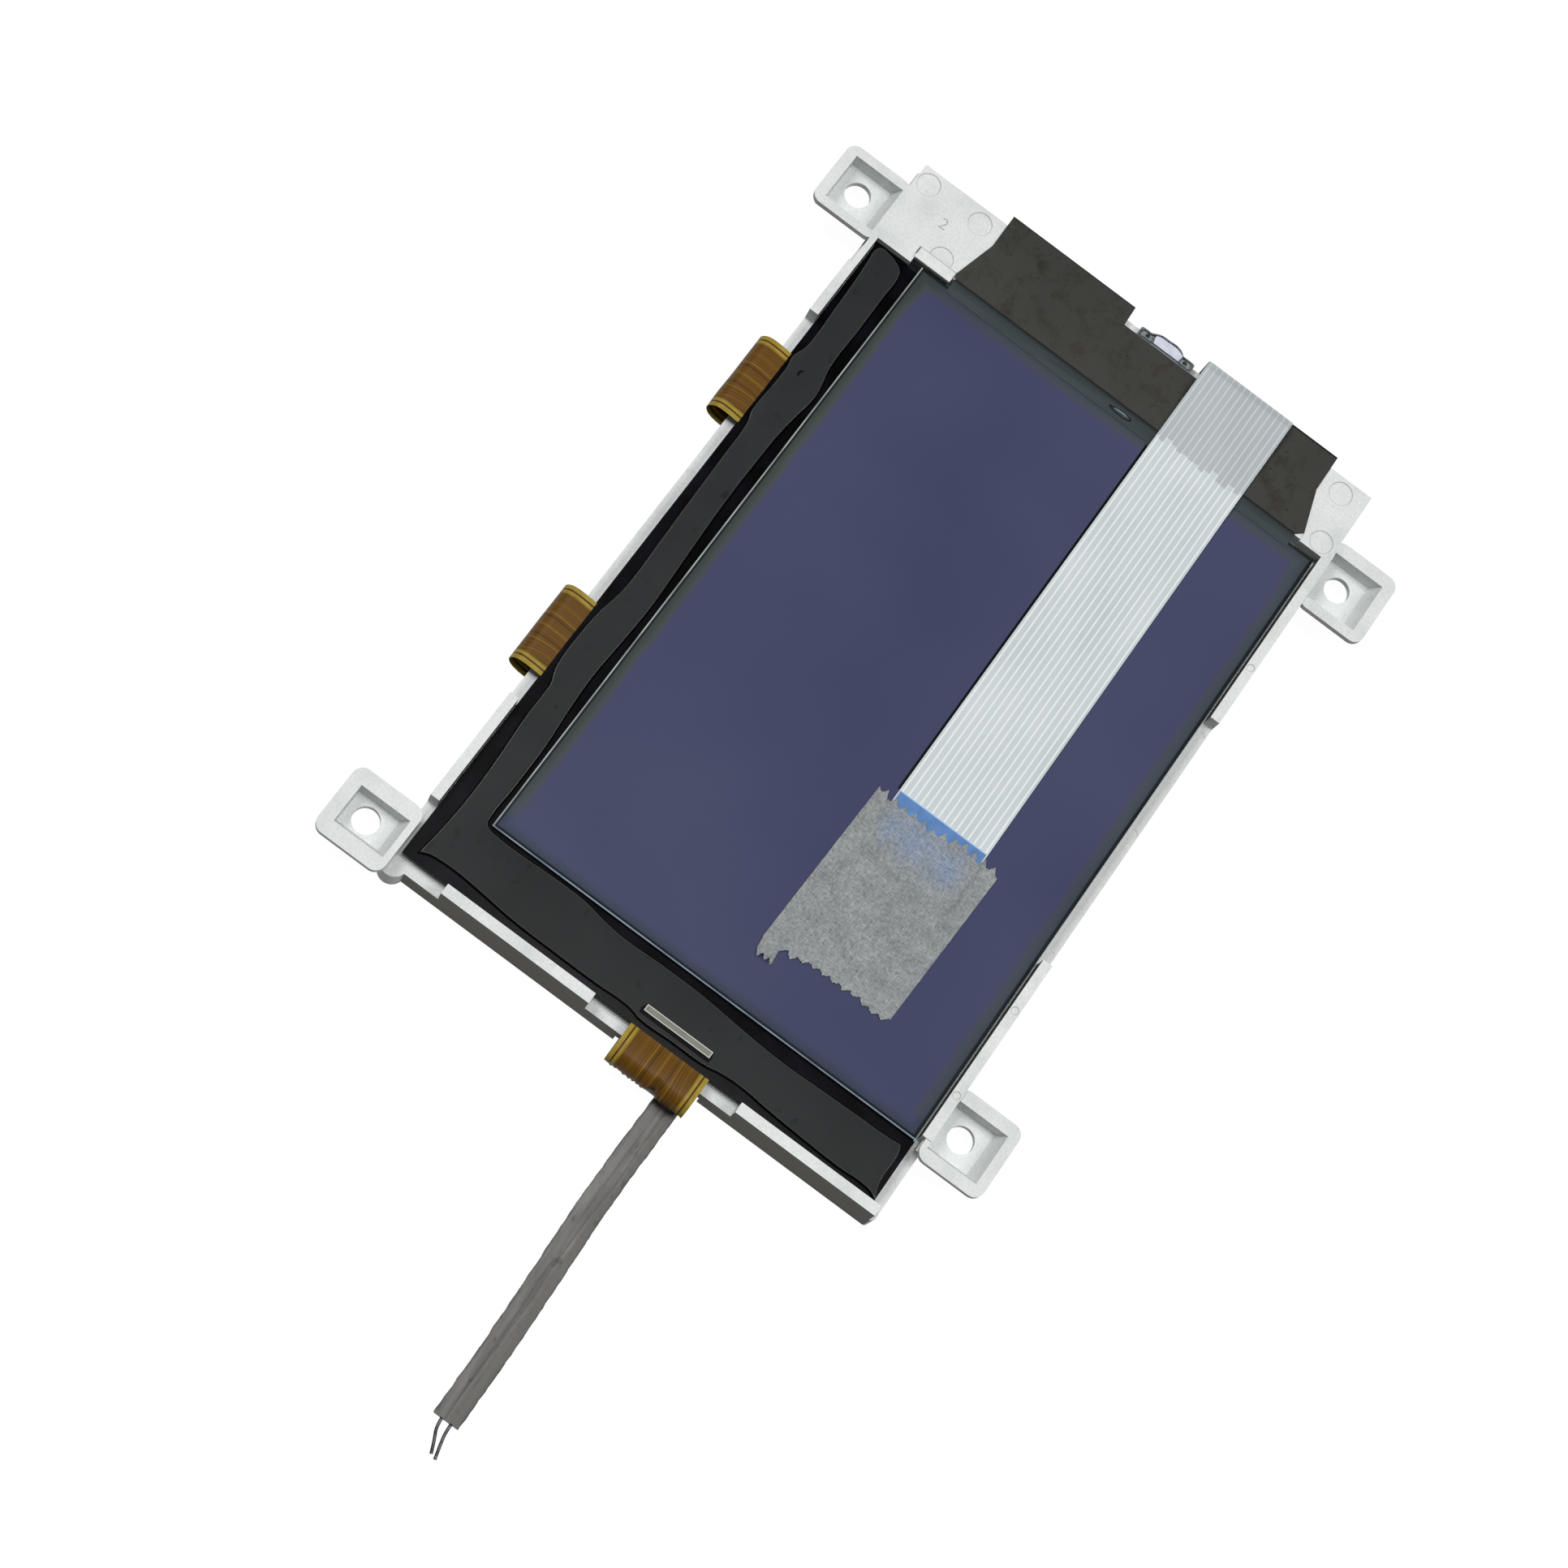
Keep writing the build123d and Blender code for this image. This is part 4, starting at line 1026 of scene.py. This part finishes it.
CABLE_SPAN = (-25.75, -7.45)
CABLE_COURSE = (
    (66.0, 1.0), (77.5, 1.0), (82.4, 1.0), (82.4, 5.5), (82.4, 10.65), (77.0, 10.2), (65.0, 9.4),
    (59.0, 8.6), (52.0, 8.55), (20.0, 8.55), (-29.0, 8.55),
)
CONDUCTORS = 14
# The share of its width that the cable has beyond the conductors, on each side.
CABLE_EDGE = 0.03
CABLE_THICKNESS = 0.22
RIB_HEIGHT = 0.045


def lay_flat_cable():
    """The flat cable with its row of conductors showing as ribs."""
    course = points_along("cable_course", [(x, 0, z) for x, z in CABLE_COURSE], 12)
    lengths = [0.0]
    for before, after in zip(course, course[1:]):
        lengths.append(lengths[-1] + (after - before).length)

    def across(u, v):
        step = round(u * (len(course) - 1))
        place = course[step].copy()
        before, after = course[max(step - 1, 0)], course[min(step + 1, len(course) - 1)]
        run = (after - before).normalized()
        outwards = Vector((run.z, 0, -run.x))
        strand = (v - CABLE_EDGE) / (1 - 2 * CABLE_EDGE) * CONDUCTORS
        rib = abs(math.sin(math.pi * strand)) ** 0.6 if 0 < strand < CONDUCTORS else 0.0
        place.y = at(0, CABLE_SPAN[0] + (CABLE_SPAN[1] - CABLE_SPAN[0]) * v, 0).y
        return place + outwards * rib * RIB_HEIGHT * MM

    cable = shaped_grid("ribbon_cable", len(course) - 1, CONDUCTORS * 10, across)
    modify(cable, "SOLIDIFY", thickness=CABLE_THICKNESS * MM, offset=0.0)
    settle(cable, flat_cable_film(), "flat_cable", angle=60.0)


# Torn ends of the paper tape: place across it, then the place of its edge along x.
TORN_TOP = (
    (-29.5, -18.7), (-27.2, -18.2), (-25.7, -18.7), (-22.7, -18.3), (-20.9, -18.0), (-19.3, -18.9),
    (-17.7, -18.8), (-16.0, -19.5), (-12.4, -19.0), (-10.2, -19.3), (-6.5, -19.0), (-4.6, -18.2),
    (-3.9, -19.0),
)
TORN_BOTTOM = (
    (-28.3, -50.2), (-26.1, -50.8), (-23.7, -50.7), (-21.5, -50.2), (-19.3, -50.5), (-12.7, -50.5),
    (-10.6, -51.0), (-9.1, -51.6), (-7.6, -51.2), (-5.0, -52.2), (-3.2, -51.4),
)


# The paper tape's straight edge in y and how far it slants, its width, thickness and level.
PAPER_EDGE = -3.3
PAPER_SLANT = 1.1
PAPER_WIDTH = 24.9
PAPER_THICKNESS = 0.1
PAPER_LEVEL = 8.5


def stick_paper_tape():
    """The torn strip of paper tape that holds the cable's end on the screen."""
    def place(u, v):
        left = PAPER_EDGE - PAPER_SLANT * u
        y = left - PAPER_WIDTH * (1 - v)
        tooth = (abs(((y * 0.5) % 1.0) - 0.5) * 2) ** 1.8
        uneven = noise.noise(Vector((y * 0.9, 5.0, 0)))
        shred = noise.noise(Vector((y * 3.5, 9.0, 0)))
        top = read_off(TORN_TOP, y) - 0.5 + tooth * (1.3 + 0.9 * uneven) + shred * 0.35
        coarse = abs(((y * 0.5) % 1.0) - 0.5) * 2 - 0.5
        bottom = read_off(TORN_BOTTOM, y) + coarse * 0.75 + noise.noise(Vector((y * 3.0, 0, 0))) * 0.35
        x = bottom + (top - bottom) * u
        over_cable = blend_between(-26.6, -25.4, y) * (1 - blend_between(-7.8, -6.6, y))
        over_cable *= blend_between(-30.4, -28.7, x)
        crepe = noise.noise(Vector((x * 0.35, y * 1.1, 2.0))) * 0.05
        fray = noise.noise(Vector((x * 2.2, y * 2.2, 7.0))) * 0.025
        lifted = 0.32 * (1 - blend_between(-51.5, -49.6, x)) * (0.6 + 0.4 * uneven)
        return at(x, y, PAPER_LEVEL + 0.48 * over_cable + crepe + fray + lifted)

    tape = shaped_grid("paper_tape", 96, 200, place)
    modify(tape, "SOLIDIFY", thickness=PAPER_THICKNESS * MM, offset=0.0)
    settle(tape, masking_paper(), "masking_tape", angle=60.0)

    def curled(u, v):
        along = -50.9 - 3.4 * u
        across = PAPER_EDGE - 3.4 * v - 0.4 * u
        ragged = noise.noise(Vector((along * 1.5, across * 2.5, 1.0)))
        tooth = (abs(((across * 0.8) % 1.0) - 0.5) * 2 - 0.5) * u
        roll = math.sin(math.pi * v) * 0.5 * u
        return at(along + tooth * 0.9 + ragged * 0.3 * u, across, 8.62 + roll + 0.18 * ragged * u)

    corner = shaped_grid("paper_tape_corner", 24, 30, curled)
    modify(corner, "SOLIDIFY", thickness=0.09 * MM, offset=0.0)
    clean(corner)
    settle(corner, masking_paper(), slot="masking_paper", angle=60.0)


HOLDER_WIRE_RADIUS = 0.2
HOLDER_TAIL_RADIUS = 0.14
HOLDER_BLOCK = ((80.3, -2.7), (80.3, 2.2), (79.9, 2.5), (78.55, 2.3), (78.55, -2.9), (79.9, -3.05))
HOLDER_BLOCK_HEIGHT = (8.9, 9.4)


def bend_holder_wire():
    """The grey wire that is wound round the lugs and the block of the lamp holder."""
    bends = (
        (78.3, 5.4, 8.95), (79.2, 5.5, 9.0), (79.9, 4.9, 9.0), (79.7, 3.6, 9.1), (80.1, 2.8, 9.3),
        (80.5, 1.6, 9.45), (80.45, 0.2, 9.45), (80.6, -1.2, 9.45), (80.3, -2.6, 9.35),
        (79.7, -3.2, 9.15), (79.9, -4.4, 9.0), (79.8, -5.6, 9.0), (78.5, -5.6, 8.95),
    )
    loop = round_bar("holder_wire", bends, HOLDER_WIRE_RADIUS)
    left = round_bar("holder_wire_left", (
        (78.35, 5.2, 8.95), (78.5, 4.2, 9.0), (78.35, 3.0, 9.0), (78.7, 2.4, 9.2), (79.4, 3.0, 9.1),
    ), HOLDER_TAIL_RADIUS)
    right = round_bar("holder_wire_right", (
        (78.4, -5.4, 8.95), (78.5, -4.4, 9.0), (78.35, -3.4, 9.0), (78.8, -2.9, 9.2), (79.5, -3.3, 9.1),
    ), HOLDER_TAIL_RADIUS)
    choose(loop, left, right)
    bpy.ops.object.join()
    settle(loop, solder_alloy(), slot="holder_plastic", angle=60.0)
    block = drawn_slab(
        "holder_block", HOLDER_BLOCK, *HOLDER_BLOCK_HEIGHT, edge=0.12, sharp=(0, 1, 3, 4),
    )
    settle(block, holder_nylon(), "lamp_block")


NUMBER_PLACE = (72.5, 44.2, 9.0)
NUMBER_SIZE = 3.2


def raise_mould_number():
    """The plain numeral 2 that the mould leaves on the frame's face."""
    deselect()
    bpy.ops.object.text_add(location=(0, 0, 0))
    number = bpy.context.object
    number.name = "mould_number"
    number.data.body = "2"
    number.data.size = NUMBER_SIZE * MM
    number.data.extrude = 0.02 * MM
    number.data.offset = -0.02 * MM
    number.data.align_x = number.data.align_y = "CENTER"
    bpy.ops.object.convert(target="MESH")
    number.location = at(*NUMBER_PLACE)
    number.rotation_euler = (0, 0, -math.pi / 2)
    bpy.ops.object.transform_apply(location=True, rotation=True, scale=True)
    settle(number, moulded_number(), slot="frame_plastic")


TAB_OUTLINE = ((64.17, 37.52), (65.86, 37.52), (65.86, 44.5), (64.17, 44.5))
TAB_HEIGHT = (8.75, 9.58)
# A thin ring round the tab's base, dark all through: painted shade where the tab meets the plate.
TAB_SHADE_RING_OUTLINE = ((65.2, 36.85), (66.42, 36.95), (66.42, 45.1), (64.8, 45.1))
TAB_SHADE_RING_HEIGHT = (8.9, 9.04)


def round_glass_tab():
    """The tab beside the screen's corner, with the rounded edges that the mould gives it."""
    tab = drawn_slab("glass_tab", TAB_OUTLINE, *TAB_HEIGHT, edge=0.28, sharp=range(4))
    settle(tab, moulded_tab(), slot="frame_plastic", angle=60.0)
    # the dark ring round the tab's base is painted shade
    foot_shade = drawn_slab("glass_tab_shade_ring", TAB_SHADE_RING_OUTLINE, *TAB_SHADE_RING_HEIGHT, sharp=range(4))
    settle(foot_shade, moulded_tab(), slot="frame_plastic")


def softbox(name, place, size, power):
    """A soft rectangular lamp that points at the middle of the floor."""
    data = bpy.data.lights.new(name, "AREA")
    data.shape = "RECTANGLE"
    data.size, data.size_y = size
    data.energy = power
    made = bpy.data.objects.new(name, data)
    bpy.context.scene.collection.objects.link(made)
    made.location = place
    made.rotation_mode = "QUATERNION"
    made.rotation_quaternion = (-Vector(place)).to_track_quat("-Z", "Y")


# Each lamp's name, place and size in metres, and its power.
LAMPS = (
    ("lamp_tape_side", (0.25, 1.05, 1.6), (0.7, 0.8), 16.8),
    ("lamp_plain_side", (0.25, -1.05, 1.6), (0.7, 0.8), 13.6),
    ("lamp_above", (-0.02, 0.0, 1.75), (0.36, 0.36), 8.6),
)


def lay_floor():
    """A sheet that the camera sees as white and that keeps a soft shadow."""
    deselect()
    bpy.ops.mesh.primitive_plane_add(size=6.0, location=(0, 0, 0))
    floor = bpy.context.object
    floor.name = "white_floor"
    made = bpy.data.materials.new("white_paper_floor")
    made.use_nodes = True
    tree = made.node_tree
    tree.nodes.clear()
    shown = add(tree, "ShaderNodeBsdfDiffuse", {"Color": colour("#F4F4F4")})
    matt = add(tree, "ShaderNodeBsdfDiffuse", {"Color": colour("#5C5C5A")})
    glow = add(tree, "ShaderNodeEmission", {"Color": colour("#FFFFFF"), "Strength": 1.04})
    seen = add(tree, "ShaderNodeLightPath")
    either = maths(tree, "MAXIMUM", seen.outputs["Is Camera Ray"], seen.outputs["Is Transmission Ray"])
    either = maths(tree, "MAXIMUM", either, seen.outputs["Is Glossy Ray"])
    bright = add(tree, "ShaderNodeMixShader", {0: 0.94, 1: shown, 2: glow})
    blend = add(tree, "ShaderNodeMixShader", {0: either, 1: matt, 2: bright})
    add(tree, "ShaderNodeOutputMaterial", {"Surface": blend})
    floor.data.materials.append(made)


def light_world():
    world = bpy.data.worlds.new("studio")
    bpy.context.scene.world = world
    world.use_nodes = True
    tree = world.node_tree
    tree.nodes.clear()
    seen = add(tree, "ShaderNodeLightPath")
    bright = maths(tree, "MAXIMUM", seen.outputs["Is Camera Ray"], seen.outputs["Is Transmission Ray"])
    strength = remap(tree, bright, 0.0, 1.0, 0.12, 1.0)
    sky = add(tree, "ShaderNodeBackground", {"Color": colour("#FFFFFF"), "Strength": strength})
    add(tree, "ShaderNodeOutputWorld", {"Surface": sky})


place_camera()
lay_lamp_lead()
finish_solids()
pour_resin()
curl_tapes()
lay_black_cover()
lay_flat_cable()
stick_paper_tape()
bend_holder_wire()
raise_mould_number()
round_glass_tab()
light_world()
for lamp in LAMPS:
    softbox(*lamp)
lay_floor()
bpy.context.scene.view_settings.view_transform = "Standard"
